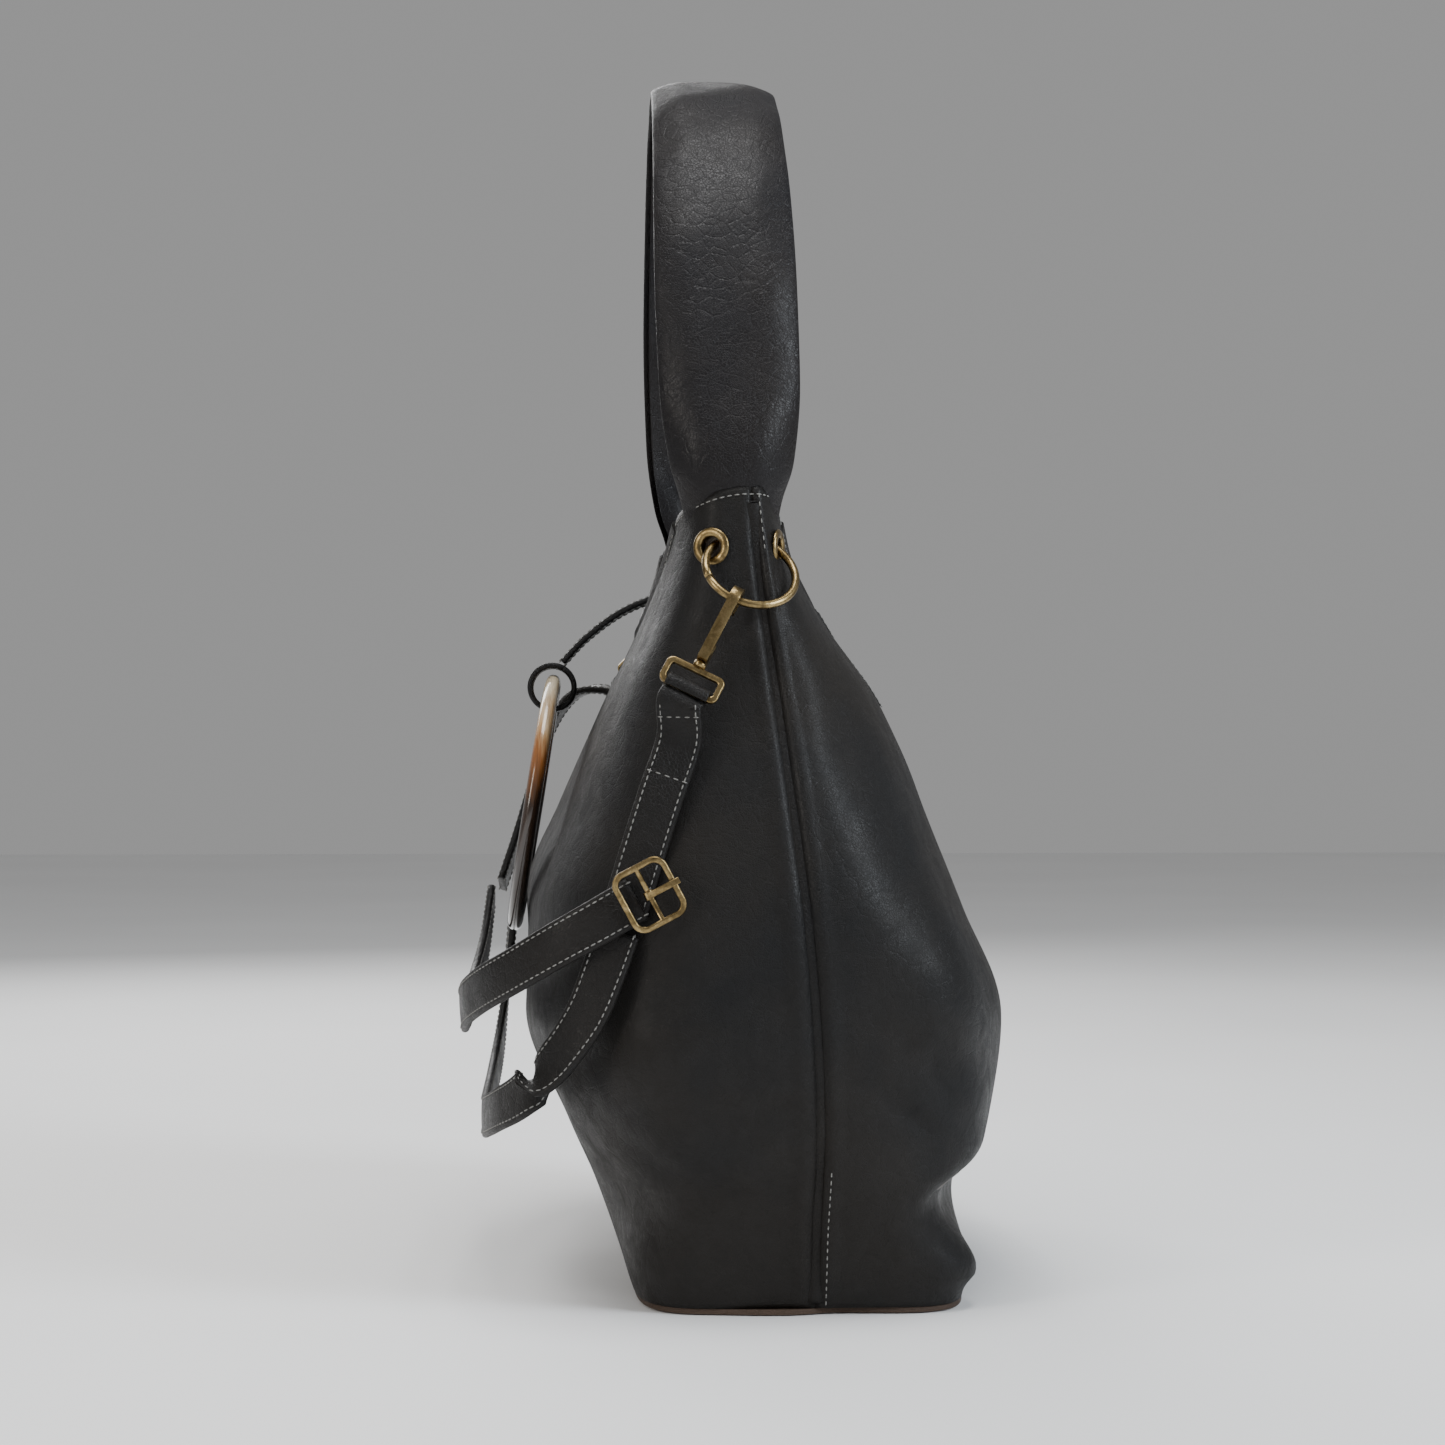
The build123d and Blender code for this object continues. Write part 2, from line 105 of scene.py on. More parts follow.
def joined(name, pieces):
    """Several meshes as one piece."""
    work = bmesh.new()
    materials = []
    for piece in pieces:
        first = len(work.faces)
        work.from_mesh(piece.data)
        work.faces.ensure_lookup_table()
        slots = []
        for material in piece.data.materials:
            if material not in materials:
                materials.append(material)
            slots.append(materials.index(material))
        for face in work.faces[first:]:
            face.material_index = slots[face.material_index]
    mesh = bpy.data.meshes.new(name)
    work.to_mesh(mesh)
    work.free()
    for material in materials:
        mesh.materials.append(material)
    for piece in pieces:
        bpy.data.objects.remove(piece)
    whole = bpy.data.objects.new(name, mesh)
    bpy.context.scene.collection.objects.link(whole)
    return whole


def place(piece, body, slot, *nodes):
    """Rides a finished piece on a body and hides the plain solids it stands for. Its slot is not used."""
    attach(piece, body)
    if nodes:
        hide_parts(*nodes)
    print(piece.name, len(piece.data.polygons), "faces on", body)
    return piece


# %% [markdown]
# ## Camera, light and floor
# The bag is seen from one end, nearly level, from a little over a metre. A pale floor and big soft
# lights suit black leather, because black shows little but the lights it mirrors.

# %% Camera, lights and floor
CAMERA_PLACE = Vector((1.50, -0.100, 0.256))
CAMERA_AIM = Vector((0.20, -0.038, 0.270))
LENS = 72.6

camera_data = bpy.data.cameras.new("camera")
camera_data.lens = LENS
camera_data.sensor_width = 36.0
camera_data.clip_start = 0.01
camera = bpy.data.objects.new("camera", camera_data)
camera.location = CAMERA_PLACE
camera.rotation_euler = (CAMERA_AIM - CAMERA_PLACE).to_track_quat("-Z", "Y").to_euler()
bpy.context.scene.collection.objects.link(camera)
bpy.context.scene.camera = camera


def soft_light(name, where, aim, size, power, colour):
    data = bpy.data.lights.new(name, "AREA")
    data.shape = "RECTANGLE"
    data.size, data.size_y = size
    data.energy = power
    data.color = colour
    light = bpy.data.objects.new(name, data)
    light.location = where
    light.rotation_euler = (Vector(aim) - Vector(where)).to_track_quat("-Z", "Y").to_euler()
    bpy.context.scene.collection.objects.link(light)


MIDDLE = (0.0, 0.0, 0.25)
soft_light("window", (1.1, 1.7, 1.2), MIDDLE, (0.8, 1.3), 46, (0.86, 0.93, 1.0))
soft_light("front_fill", (1.3, -1.6, 0.9), MIDDLE, (0.6, 1.0), 15, (1.0, 0.95, 0.88))
soft_light("top", (0.3, -0.1, 2.0), MIDDLE, (1.0, 1.0), 30, (1.0, 1.0, 1.0))
soft_light("behind", (-1.6, -0.6, 1.2), MIDDLE, (1.2, 1.0), 22, (1.0, 1.0, 1.0))

world = bpy.data.worlds.new("studio")
world.use_nodes = True
world.node_tree.nodes["Background"].inputs["Color"].default_value = (1.0, 1.0, 1.0, 1)
world.node_tree.nodes["Background"].inputs["Strength"].default_value = 0.32
bpy.context.scene.world = world

# %% [markdown]
# ## Materials
# Each finish is a small tree of nodes: noise for the colour's drift, cells for the leather's pores,
# and both again for roughness and bump. Object coordinates are in metres, so a pore of 0.9 mm is a
# scale of about 1100.

# %% Material helpers
class Finish:
    """Builds one material, keeping its nodes short to write."""

    def __init__(self, name):
        self.material = bpy.data.materials.new(name)
        self.material.use_nodes = True
        self.tree = self.material.node_tree
        self.shader = self.tree.nodes["Principled BSDF"]
        self.where = self.tree.nodes.new("ShaderNodeTexCoord").outputs["Object"]

    def node(self, kind, **settings):
        node = self.tree.nodes.new(kind)
        for key, value in settings.items():
            setattr(node, key, value)
        return node

    def link(self, source, target):
        self.tree.links.new(source, target)

    def stretched(self, scale):
        mapping = self.node("ShaderNodeMapping")
        mapping.inputs["Scale"].default_value = scale
        self.link(self.where, mapping.inputs["Vector"])
        return mapping.outputs["Vector"]

    def noise(self, scale, detail=3.0, rough=0.5, distortion=0.0, where=None):
        noise = self.node("ShaderNodeTexNoise")
        noise.inputs["Scale"].default_value = scale
        noise.inputs["Detail"].default_value = detail
        noise.inputs["Roughness"].default_value = rough
        noise.inputs["Distortion"].default_value = distortion
        self.link(where or self.where, noise.inputs["Vector"])
        return noise.outputs["Fac"]

    def warped(self, scale, amount):
        """Object coordinates pushed about by noise, so that a pattern isn't regular."""
        noise = self.node("ShaderNodeTexNoise")
        noise.inputs["Scale"].default_value = scale
        self.link(self.where, noise.inputs["Vector"])
        push = self.node("ShaderNodeVectorMath", operation="MULTIPLY_ADD")
        self.link(noise.outputs["Color"], push.inputs[0])
        push.inputs[1].default_value = (amount, amount, amount)
        self.link(self.where, push.inputs[2])
        return push.outputs["Vector"]

    def cells(self, scale, feature="DISTANCE_TO_EDGE", where=None):
        cells = self.node("ShaderNodeTexVoronoi", feature=feature)
        cells.inputs["Scale"].default_value = scale
        self.link(where or self.where, cells.inputs["Vector"])
        return cells.outputs["Distance"]

    def ramp(self, value, stops):
        ramp = self.node("ShaderNodeValToRGB")
        steps = ramp.color_ramp.elements
        while len(steps) < len(stops):
            steps.new(0.5)
        for step, (place_at, colour) in zip(steps, stops):
            step.position = place_at
            step.color = (*colour, 1) if len(colour) == 3 else colour
        self.link(value, ramp.inputs["Fac"])
        return ramp.outputs["Color"]

    def spread(self, value, low, high, out_low, out_high):
        spread = self.node("ShaderNodeMapRange")
        for key, number in (("From Min", low), ("From Max", high), ("To Min", out_low), ("To Max", out_high)):
            spread.inputs[key].default_value = number
        self.link(value, spread.inputs["Value"])
        return spread.outputs["Result"]

    def add(self, a, b, share=1.0):
        add = self.node("ShaderNodeMath", operation="MULTIPLY_ADD")
        self.link(b, add.inputs[0])
        add.inputs[1].default_value = share
        self.link(a, add.inputs[2])
        return add.outputs[0]

    def mix(self, share, a, b, blend="MIX"):
        mix = self.node("ShaderNodeMix", data_type="RGBA", blend_type=blend)
        if isinstance(share, float):
            mix.inputs["Factor"].default_value = share
        else:
            self.link(share, mix.inputs["Factor"])
        for socket, value in ((6, a), (7, b)):
            if isinstance(value, tuple):
                mix.inputs[socket].default_value = (*value, 1)
            else:
                self.link(value, mix.inputs[socket])
        return mix.outputs[2]

    def colour(self, value):
        if isinstance(value, tuple):
            self.shader.inputs["Base Color"].default_value = (*value, 1)
        else:
            self.link(value, self.shader.inputs["Base Color"])

    def rough(self, value):
        self.link(value, self.shader.inputs["Roughness"])

    def bump(self, height, depth, strength=1.0, under=None):
        bump = self.node("ShaderNodeBump")
        bump.inputs["Strength"].default_value = strength
        bump.inputs["Distance"].default_value = depth
        self.link(height, bump.inputs["Height"])
        if under is not None:
            self.link(under, bump.inputs["Normal"])
        self.link(bump.outputs["Normal"], self.shader.inputs["Normal"])
        return bump.outputs["Normal"]

    def set(self, **numbers):
        for key, value in numbers.items():
            self.shader.inputs[key.replace("_", " ")].default_value = value
        return self.material


# %% [markdown]
# Full-grain leather is not one colour. It is dyed black over brown, so it drifts a little warm where
# it is worn and cool where it is polished. Pores, short creases and long soft wrinkles are three
# sizes of bump, laid one over another. The grooves between the pores are also painted darker: the
# grain pattern, with painted shade in its grooves.

# %% Leather finishes
def leather(name, dark, worn, pore=950.0, crease=0.00035, low=0.36, high=0.60):
    skin = Finish(name)
    drift = skin.noise(9.0, 4.0, 0.6)
    colour = skin.ramp(drift, [(0.35, dark), (0.62, worn)])
    fine = skin.cells(pore)
    pores = skin.spread(fine, 0.0, 0.12, 0.0, 1.0)
    # Painted shade: the colour darkens towards black along the cell edges, where the pore bump has its
    # grooves.
    colour = skin.mix(skin.spread(fine, 0.0, 0.08, 0.35, 0.0), colour, (0.004, 0.004, 0.004))
    skin.colour(colour)
    wander = skin.noise(60.0, 5.0, 0.65, 1.2)
    creases = skin.spread(skin.cells(150.0, where=skin.warped(35.0, 0.012)), 0.0, 0.10, 0.0, 1.0)
    skin.rough(skin.add(skin.spread(wander, 0.3, 0.7, low, high), skin.spread(fine, 0.0, 0.2, 0.12, 0.0)))
    first = skin.bump(wander, 0.0009, 0.5)
    second = skin.bump(creases, crease, 0.32, first)
    skin.bump(pores, 0.00016, 0.75, second)
    return skin.set(Specular_IOR_Level=0.20, Coat_Weight=0.04, Coat_Roughness=0.28)


body_leather = leather("body_leather", (0.0040, 0.0042, 0.0048), (0.0095, 0.0078, 0.0064))
handle_leather = leather("handle_leather", (0.0042, 0.0038, 0.0054), (0.0095, 0.0075, 0.0072), 800.0, 0.0005,
                         0.30, 0.50)
strap_leather = leather("strap_leather", (0.0038, 0.0038, 0.0040), (0.0085, 0.0072, 0.0064), 700.0, 0.0004,
                        0.32, 0.52)
base_leather = leather("base_leather", (0.045, 0.028, 0.020), (0.075, 0.050, 0.036), 900.0, 0.0004, 0.5, 0.7)


# %% [markdown]
# Antique brass is bright only where hands rub it. Noise chooses between the dark patina and the
# bare metal, and a second, finer noise leaves small scratches in the roughness.

# %% Metal, thread, horn and cloth finishes
def antique_brass():
    brass = Finish("antique_brass")
    patina = brass.noise(130.0, 5.0, 0.7, 0.8)
    spots = brass.noise(900.0, 3.0, 0.6)
    mixed = brass.add(patina, spots, 0.25)
    brass.colour(brass.ramp(mixed, [(0.38, (0.045, 0.032, 0.016)), (0.56, (0.17, 0.120, 0.052)),
                                    (0.78, (0.36, 0.265, 0.125))]))
    brass.rough(brass.spread(mixed, 0.35, 0.8, 0.46, 0.24))
    brass.bump(spots, 0.00012, 0.35)
    return brass.set(Metallic=1.0)


def waxed_thread():
    thread = Finish("thread")
    ply = thread.noise(1500.0, 2.0)
    thread.colour(thread.ramp(ply, [(0.3, (0.10, 0.10, 0.095)), (0.7, (0.27, 0.265, 0.25))]))
    thread.rough(thread.spread(ply, 0.3, 0.7, 0.6, 0.85))
    thread.bump(ply, 0.0002, 0.6)
    return thread.set(Specular_IOR_Level=0.3)


def polished_horn():
    """Cream at the top, amber below it, then dark brown, with streaks along the horn."""
    horn = Finish("horn")
    split = horn.node("ShaderNodeSeparateXYZ")
    horn.link(horn.where, split.inputs[0])
    streaks = horn.noise(26.0, 5.0, 0.6, 1.5, horn.stretched((1.0, 4.0, 0.7)))
    height = horn.add(split.outputs["Z"], horn.spread(streaks, 0.3, 0.7, -0.012, 0.012))
    level = horn.spread(height, 0.155, 0.290, 0.0, 1.0)
    colour = horn.ramp(level, [(0.0, (0.016, 0.013, 0.011)), (0.58, (0.030, 0.015, 0.008)),
                               (0.74, (0.26, 0.095, 0.022)), (0.85, (0.50, 0.33, 0.17)),
                               (1.0, (0.66, 0.56, 0.40))])
    lines = horn.noise(9.0, 6.0, 0.7, 0.4, horn.stretched((6.0, 30.0, 3.0)))
    horn.colour(horn.mix(horn.spread(lines, 0.5, 0.72, 0.0, 0.55), colour, (0.030, 0.020, 0.014)))
    horn.rough(horn.spread(lines, 0.3, 0.7, 0.12, 0.26))
    horn.bump(lines, 0.00025, 0.25)
    return horn.set(Coat_Weight=0.5, Coat_Roughness=0.08, Specular_IOR_Level=0.55)


def woven_cloth():
    cloth = Finish("lining_cloth")
    waves = []
    for direction in ("X", "Z"):
        wave = cloth.node("ShaderNodeTexWave", wave_type="BANDS", bands_direction=direction)
        wave.inputs["Scale"].default_value = 420.0
        cloth.link(cloth.where, wave.inputs["Vector"])
        waves.append(wave.outputs["Fac"])
    weave = cloth.add(waves[0], waves[1])
    drift = cloth.noise(14.0, 3.0)
    cloth.colour(cloth.ramp(drift, [(0.3, (0.060, 0.048, 0.040)), (0.7, (0.095, 0.078, 0.064))]))
    cloth.rough(cloth.spread(drift, 0.3, 0.7, 0.8, 0.95))
    cloth.bump(weave, 0.0002, 0.6)
    return cloth.set(Sheen_Weight=0.25)


def plain_floor():
    floor = Finish("floor")
    drift = floor.noise(2.0, 2.0)
    floor.colour(floor.ramp(drift, [(0.3, (0.84, 0.84, 0.84)), (0.7, (0.87, 0.87, 0.87))]))
    floor.rough(floor.spread(drift, 0.3, 0.7, 0.7, 0.8))
    return floor.material


brass = antique_brass()
thread = waxed_thread()
horn_finish = polished_horn()
lining_cloth = woven_cloth()

FLOOR_HALF = 6.0
floor = mesh_piece("floor", [(-FLOOR_HALF, -FLOOR_HALF, -0.0006), (FLOOR_HALF, -FLOOR_HALF, -0.0006),
                             (FLOOR_HALF, FLOOR_HALF, -0.0006), (-FLOOR_HALF, FLOOR_HALF, -0.0006)],
                   [(0, 1, 2, 3)], plain_floor(), False)

# %% [markdown]
# ## The body's shape
# A soft bag is easiest to describe as a stack of level outlines. Each outline is a superellipse: its
# power makes it round like an eye or square like a box. The bag is a box at its base, round at its
# belly and narrow at its neck. The outlines are spaced evenly by length, so the mesh is even too.

# %% Outlines of the body
LEVELS = np.array([
    # height, half width, seam y, front y, back y, squareness in front, squareness behind
    (0.0, 168.0, 6.0, -76.0, 80.0, 7.0, 7.0),
    (34.0, 178.0, 6.0, -90.0, 84.0, 5.0, 5.0),
    (80.0, 190.0, 7.0, -110.0, 97.0, 3.6, 3.6),
    (130.0, 197.0, 5.0, -128.0, 104.0, 3.2, 3.1),
    (180.0, 196.0, 1.0, -128.0, 88.0, 3.2, 2.8),
    (230.0, 188.0, -5.0, -112.0, 69.0, 3.2, 2.6),
    (280.0, 172.0, -11.0, -91.0, 48.0, 3.6, 2.6),
    (325.0, 158.0, -17.0, -70.0, 16.0, 4.0, 2.6),
    (352.0, 154.0, -20.0, -62.0, 1.0, 4.0, 2.6),
    (374.0, 152.0, -22.0, -59.0, -3.0, 4.0, 2.6),
    (392.0, 150.0, -23.0, -57.0, -5.0, 4.0, 2.6),
])


def smooth_rows(rows, at):
    """Rows read at any height, along a curve that passes through all of them without overshoot."""
    x = rows[:, 0]
    out = np.empty((len(at), rows.shape[1] - 1))
    for k in range(1, rows.shape[1]):
        y = rows[:, k]
        slope = np.diff(y) / np.diff(x)
        tangent = np.zeros(len(x))
        tangent[0], tangent[-1] = slope[0], slope[-1]
        same = slope[1:] * slope[:-1] > 0
        tangent[1:-1][same] = 2 * slope[1:][same] * slope[:-1][same] / (slope[1:][same] + slope[:-1][same])
        i = np.clip(np.searchsorted(x, at) - 1, 0, len(x) - 2)
        h = x[i + 1] - x[i]
        t = (at - x[i]) / h
        out[:, k - 1] = ((2 * t**3 - 3 * t**2 + 1) * y[i] + (t**3 - 2 * t**2 + t) * h * tangent[i]
                         + (-2 * t**3 + 3 * t**2) * y[i + 1] + (t**3 - t**2) * h * tangent[i + 1])
    return out


HEIGHTS = np.linspace(0.0, 392.0, 197)
COLUMNS = 193


def outlines(front):
    """For each height, one panel's outline from the far seam to the near one, evenly spaced."""
    values = smooth_rows(LEVELS, HEIGHTS)
    turn = np.linspace(math.pi, 0.0, 1501)
    stack = np.empty((len(HEIGHTS), COLUMNS, 2))
    for row, (half, seam, front_y, back_y, square_front, square_back) in enumerate(values):
        edge, square = (front_y, square_front) if front else (back_y, square_back)
        x = half * np.sign(np.cos(turn)) * np.abs(np.cos(turn)) ** (2 / square)
        y = seam + (edge - seam) * np.abs(np.sin(turn)) ** (2 / square)
        run = np.concatenate([[0], np.cumsum(np.hypot(np.diff(x), np.diff(y)))])
        even = np.linspace(0, run[-1], COLUMNS)
        stack[row, :, 0] = np.interp(even, run, x)
        stack[row, :, 1] = np.interp(even, run, y)
    return stack


OUTLINES = {True: outlines(True), False: outlines(False)}


def wall(front, column, height):
    """Points of the plain wall at (column, height), both arrays of one shape, in millimetres."""
    stack = OUTLINES[front]
    z = np.clip(height, 0, HEIGHTS[-1] - 0.001) / (HEIGHTS[1] - HEIGHTS[0])
    row = z.astype(int)
    rise = (z - row)[..., None]
    col = np.clip(column, 0, COLUMNS - 1.001)
    left = col.astype(int)
    part = (col - left)[..., None]
    low = stack[row, left] * (1 - part) + stack[row, left + 1] * part
    high = stack[row + 1, left] * (1 - part) + stack[row + 1, left + 1] * part
    flat = low * (1 - rise) + high * rise
    return np.concatenate([flat, height[..., None]], axis=-1)


MOUTH_HALF, MOUTH_DIP, BODY_TOP = 122.0, 318.0, 374.0
ARC_RADIUS = (MOUTH_HALF**2 + (BODY_TOP - MOUTH_DIP) ** 2) / (2 * (BODY_TOP - MOUTH_DIP))


def top_edge(front):
    """The height at which each column of a panel ends: the mouth's sag, then the necks' round ends."""
    neck = wall(front, np.arange(COLUMNS) * 1.0, np.full(COLUMNS, 366.0))
    x, y = np.abs(neck[:, 0]), neck[:, 1]
    sag = MOUTH_DIP + ARC_RADIUS - np.sqrt(np.maximum(ARC_RADIUS**2 - np.minimum(x, MOUTH_HALF) ** 2, 0))
    seam_y = -21.5
    dome = 380.0 - 11.0 * ((y - seam_y) / 36.0) ** 2
    top = np.where(x > MOUTH_HALF, np.maximum(dome, 366.0), np.minimum(sag, 369.0))
    for _ in range(6):
        top[1:-1] = (top[:-2] + top[1:-1] * 2 + top[2:]) / 4
    return top


TOP = {True: top_edge(True), False: top_edge(False)}
print("outline columns", COLUMNS, "mouth edge from", TOP[True].min(), "to", TOP[True].max())

# %% [markdown]
# ## Folds, dents and sag
# Nothing on a soft bag is as smooth as its outline. Each dent here is a soft bump with a place, a
# size and a depth, and each crease is a line with a valley on one side and a ridge on the other.
# About a hundred small ones, from a fixed seed, keep the large plain faces from looking moulded.

# %% Dents and creases
DENTS = [
    # x, y, z, reach in x, y, z, and how far out (+) or in (-)
    (168, -84, 44, 64, 32, 24, -13.0),
    (196, -20, 30, 26, 40, 26, -3.0),
    (196, 26, 100, 26, 30, 40, -3.5),
    (192, -70, 118, 26, 34, 26, 5.0),
    (178, 70, 172, 26, 20, 40, 4.0),
    (184, 60, 98, 26, 26, 22, -5.0),
    (150, -92, 10, 26, 16, 24, 3.5),
    (140, 90, 47, 70, 36, 14, -15.0),
    (158, 88, 18, 24, 22, 12, 12.0),
    (182, 48, 118, 34, 24, 34, -4.0),
    (172, 78, 150, 34, 30, 30, 3.0),
    (190, -30, 250, 30, 26, 50, -2.5),
    (170, 22, 268, 30, 16, 40, -3.0),
    (186, -62, 190, 30, 30, 50, 2.5),
    (192, 30, 62, 24, 20, 20, 3.0),
    (178, 56, 72, 30, 18, 14, -4.0),
    (-168, -82, 40, 60, 30, 22, -7.0),
    (-150, 90, 48, 60, 34, 14, -7.0),
    (-182, 40, 112, 34, 24, 34, -4.0),
    (0, -128, 60, 90, 30, 26, -4.0),
    (-60, -128, 200, 60, 30, 40, 3.0),
    (70, -128, 215, 50, 30, 40, -3.0),
    (40, 100, 130, 70, 30, 50, 3.0),
    (-70, 96, 160, 50, 30, 60, -4.0),
    (0, 60, 250, 60, 30, 40, -4.0),
]
CREASES = [
    # start, end, how wide, how deep
    ((160, -118, 96), (180, -86, 72), 9.0, 8.0),
    ((180, -86, 72), (192, -48, 56), 9.0, 7.0),
    ((192, -48, 56), (190, -20, 50), 7.0, 3.2),
    ((193, -22, 104), (196, -2, 92), 4.0, 1.3),
    ((194, -16, 92), (195, 2, 82), 4.0, 1.0),
    ((120, 104, 66), (160, 84, 54), 8.0, 4.0),
    ((160, 84, 54), (184, 56, 44), 8.0, 2.6),
    ((186, 60, 120), (176, 84, 98), 8.0, 2.4),
    ((190, 40, 96), (182, 66, 82), 6.0, 1.8),
    ((-160, -118, 92), (-184, -70, 66), 9.0, 4.5),
    ((-130, 102, 64), (-184, 60, 50), 9.0, 4.0),
    ((118, -70, 352), (128, -96, 292), 8.0, 2.6),
    ((-118, -70, 352), (-130, -96, 288), 8.0, 3.0),
    ((110, 10, 350), (120, 40, 300), 8.0, 3.0),
    ((-108, 10, 350), (-122, 40, 296), 8.0, 2.6),
    ((60, -116, 240), (96, -124, 190), 10.0, 2.0),
    ((-40, 94, 110), (60, 100, 96), 10.0, 2.4),
    ((-90, -108, 84), (50, -112, 78), 12.0, 2.6),
]
draw = np.random.default_rng(7)
SOFT = []
for _ in range(70):
    side = draw.choice([-1.0, 1.0])
    SOFT.append((draw.uniform(-190, 190), side * draw.uniform(60, 120), draw.uniform(30, 330),
                 draw.uniform(16, 34), draw.uniform(18, 40), draw.uniform(14, 40), draw.uniform(-2.0, 2.0)))
for _ in range(40):
    side = draw.choice([-1.0, 1.0])
    SOFT.append((side * draw.uniform(160, 198), draw.uniform(-90, 90), draw.uniform(30, 330),
                 draw.uniform(16, 30), draw.uniform(9, 24), draw.uniform(10, 34), draw.uniform(-1.9, 1.9)))


def relief(points):
    """How far the leather stands out from its plain outline at each point."""
    out = np.zeros(points.shape[:-1])
    for x, y, z, rx, ry, rz, amount in DENTS + SOFT:
        away = (((points - np.array((x, y, z))) / np.array((rx, ry, rz))) ** 2).sum(-1)
        out += amount * np.exp(-away)
    for start, end, wide, deep in CREASES:
        start, end = np.array(start, float), np.array(end, float)
        line = end - start
        share = np.clip(((points - start) @ line) / (line @ line), 0, 1)
        gap = points - start - share[..., None] * line
        fade = np.sin(np.pi * (0.12 + 0.76 * share))
        distance = np.linalg.norm(gap, axis=-1)
        side = gap[..., 2]
        out -= deep * fade * np.exp(-((distance / wide) ** 2))
        lifted = np.sqrt((gap[..., 0]) ** 2 + gap[..., 1] ** 2 + (side - 1.5 * wide) ** 2)
        out += 0.6 * deep * fade * np.exp(-((lifted / wide) ** 2))
    return out


SEAM_ROLL = 4.0          # the last millimetres of a panel roll in at the seam
SEAM_DEPTH = 3.2
ROWS = 150


def panel_points(front, lift=0.0, rows=ROWS, columns=COLUMNS, bottom=2.7, rolled=True):
    """One panel as a grid of points in millimetres, moved out along its surface by lift."""
    column = np.linspace(0, COLUMNS - 1, columns)
    share = np.linspace(0, 1, rows)
    top = np.interp(column, np.arange(COLUMNS), TOP[front])
    height = bottom + share[:, None] * (top - bottom)[None, :]
    column = np.broadcast_to(column, height.shape)
    base = wall(front, column, height)
    step = 0.6
    across = wall(front, column + step, height) - wall(front, np.maximum(column - step, 0), height)
    up = wall(front, column, height + 2) - wall(front, column, np.maximum(height - 2, 0))
    normal = np.cross(across, up)
    normal /= np.maximum(np.linalg.norm(normal, axis=-1, keepdims=True), 1e-9)
    if not front:
        normal = -normal
    out = relief(base)
    edge_run = np.minimum(column, COLUMNS - 1 - column) * 2.2
    if rolled:
        inward = np.clip(1 - edge_run / SEAM_ROLL, 0, 1)
        out = out - SEAM_DEPTH * inward**2
        out += 1.3 * np.exp(-(((edge_run - SEAM_ROLL - 1.6) / 2.4) ** 2))
    settle = np.clip((height - bottom) / 14.0, 0, 1)
    tuck = np.clip((TOP[front].max() + 5 - height) / 30.0, 0.25, 1)
    moved = base + normal * ((out * np.minimum(settle + 0.15, 1) * tuck) + lift)[..., None]
    moved[..., 2] = np.maximum(moved[..., 2], 0.6)
    return moved


# %% [markdown]
# The eyelets are real holes through both layers. Their places come from the frame, from the middle
# of each eyelet's box. A short cylinder punches each hole with a Boolean.

# %% Eyelet places
def box_middle(node):
    low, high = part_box(node)
    return (Vector(low) + Vector(high)) / 2


def eyelet_normal(node):
    """The thin direction of an eyelet: the least spread of its corners."""
    corners = np.array([v.co for v in frame["nodes"][node].data.vertices])
    corners = corners - corners.mean(0)
    thin = np.linalg.svd(corners, full_matrices=False)[2][2]
    middle = box_middle(node)
    out = Vector(thin)
    if out.x * middle.x < 0:
        out = -out
    return out.normalized()


EYELET_NODES = ["near_front_eyelet", "near_back_eyelet", "far_front_eyelet", "far_back_eyelet"]
EYELETS = [(box_middle(n), eyelet_normal(n)) for n in EYELET_NODES]


def turned_to(direction, middle):
    """A matrix that stands something's z along a direction, at a place."""
    return Matrix.Translation(middle) @ Vector(direction).to_track_quat("Z", "Y").to_matrix().to_4x4()


def punch(middle, normal, radius):
    count = 40
    rings = [[(radius * math.cos(2 * math.pi * i / count), radius * math.sin(2 * math.pi * i / count), z)
              for i in range(count)] for z in (-0.008, 0.008)]
    faces = grid_faces(2, count, wrap=True) + [tuple(range(count))[::-1], tuple(range(count, 2 * count))]
    cutter = mesh_piece("punch", rings[0] + rings[1], faces, body_leather, False)
    cutter.data.transform(turned_to(normal, middle))
    cutter.hide_render = True
    return cutter


def panel(front, name, nodes):
    points = panel_points(front)
    rows, columns = points.shape[:2]
    piece = mesh_piece(name, points.reshape(-1, 3) * MM, grid_faces(rows, columns), body_leather)
    outside = piece.data.polygons[rows * columns // 2].normal
    if outside.y * (-1 if front else 1) < 0:
        piece.data.flip_normals()
    wall_thick = piece.modifiers.new("thickness", "SOLIDIFY")
    wall_thick.thickness = 1.9 * MM
    wall_thick.offset = -1.0
    for number, (middle, normal) in enumerate(EYELETS):
        cutter = punch(middle, normal, 5.2 * MM)
        hole = piece.modifiers.new(f"hole_{number}", "BOOLEAN")
        hole.object = cutter
        hole.solver = "EXACT"
    baked(piece)
    for cutter in [o for o in bpy.data.objects if o.name.startswith("punch")]:
        bpy.data.objects.remove(cutter)
    piece.data.polygons.foreach_set("use_smooth", [True] * len(piece.data.polygons))
    return place(piece, "bag", "body_leather", *nodes)


panel(True, "front_leather", ["front_panel"])
panel(False, "back_leather", ["back_panel"])

# %% [markdown]
# ## Lining, base and mouth
# The lining is the same grid, drawn in by three millimetres, so that it follows every dent. The base
# keeps the plain solid's shape, which is right, and only gets its leather.

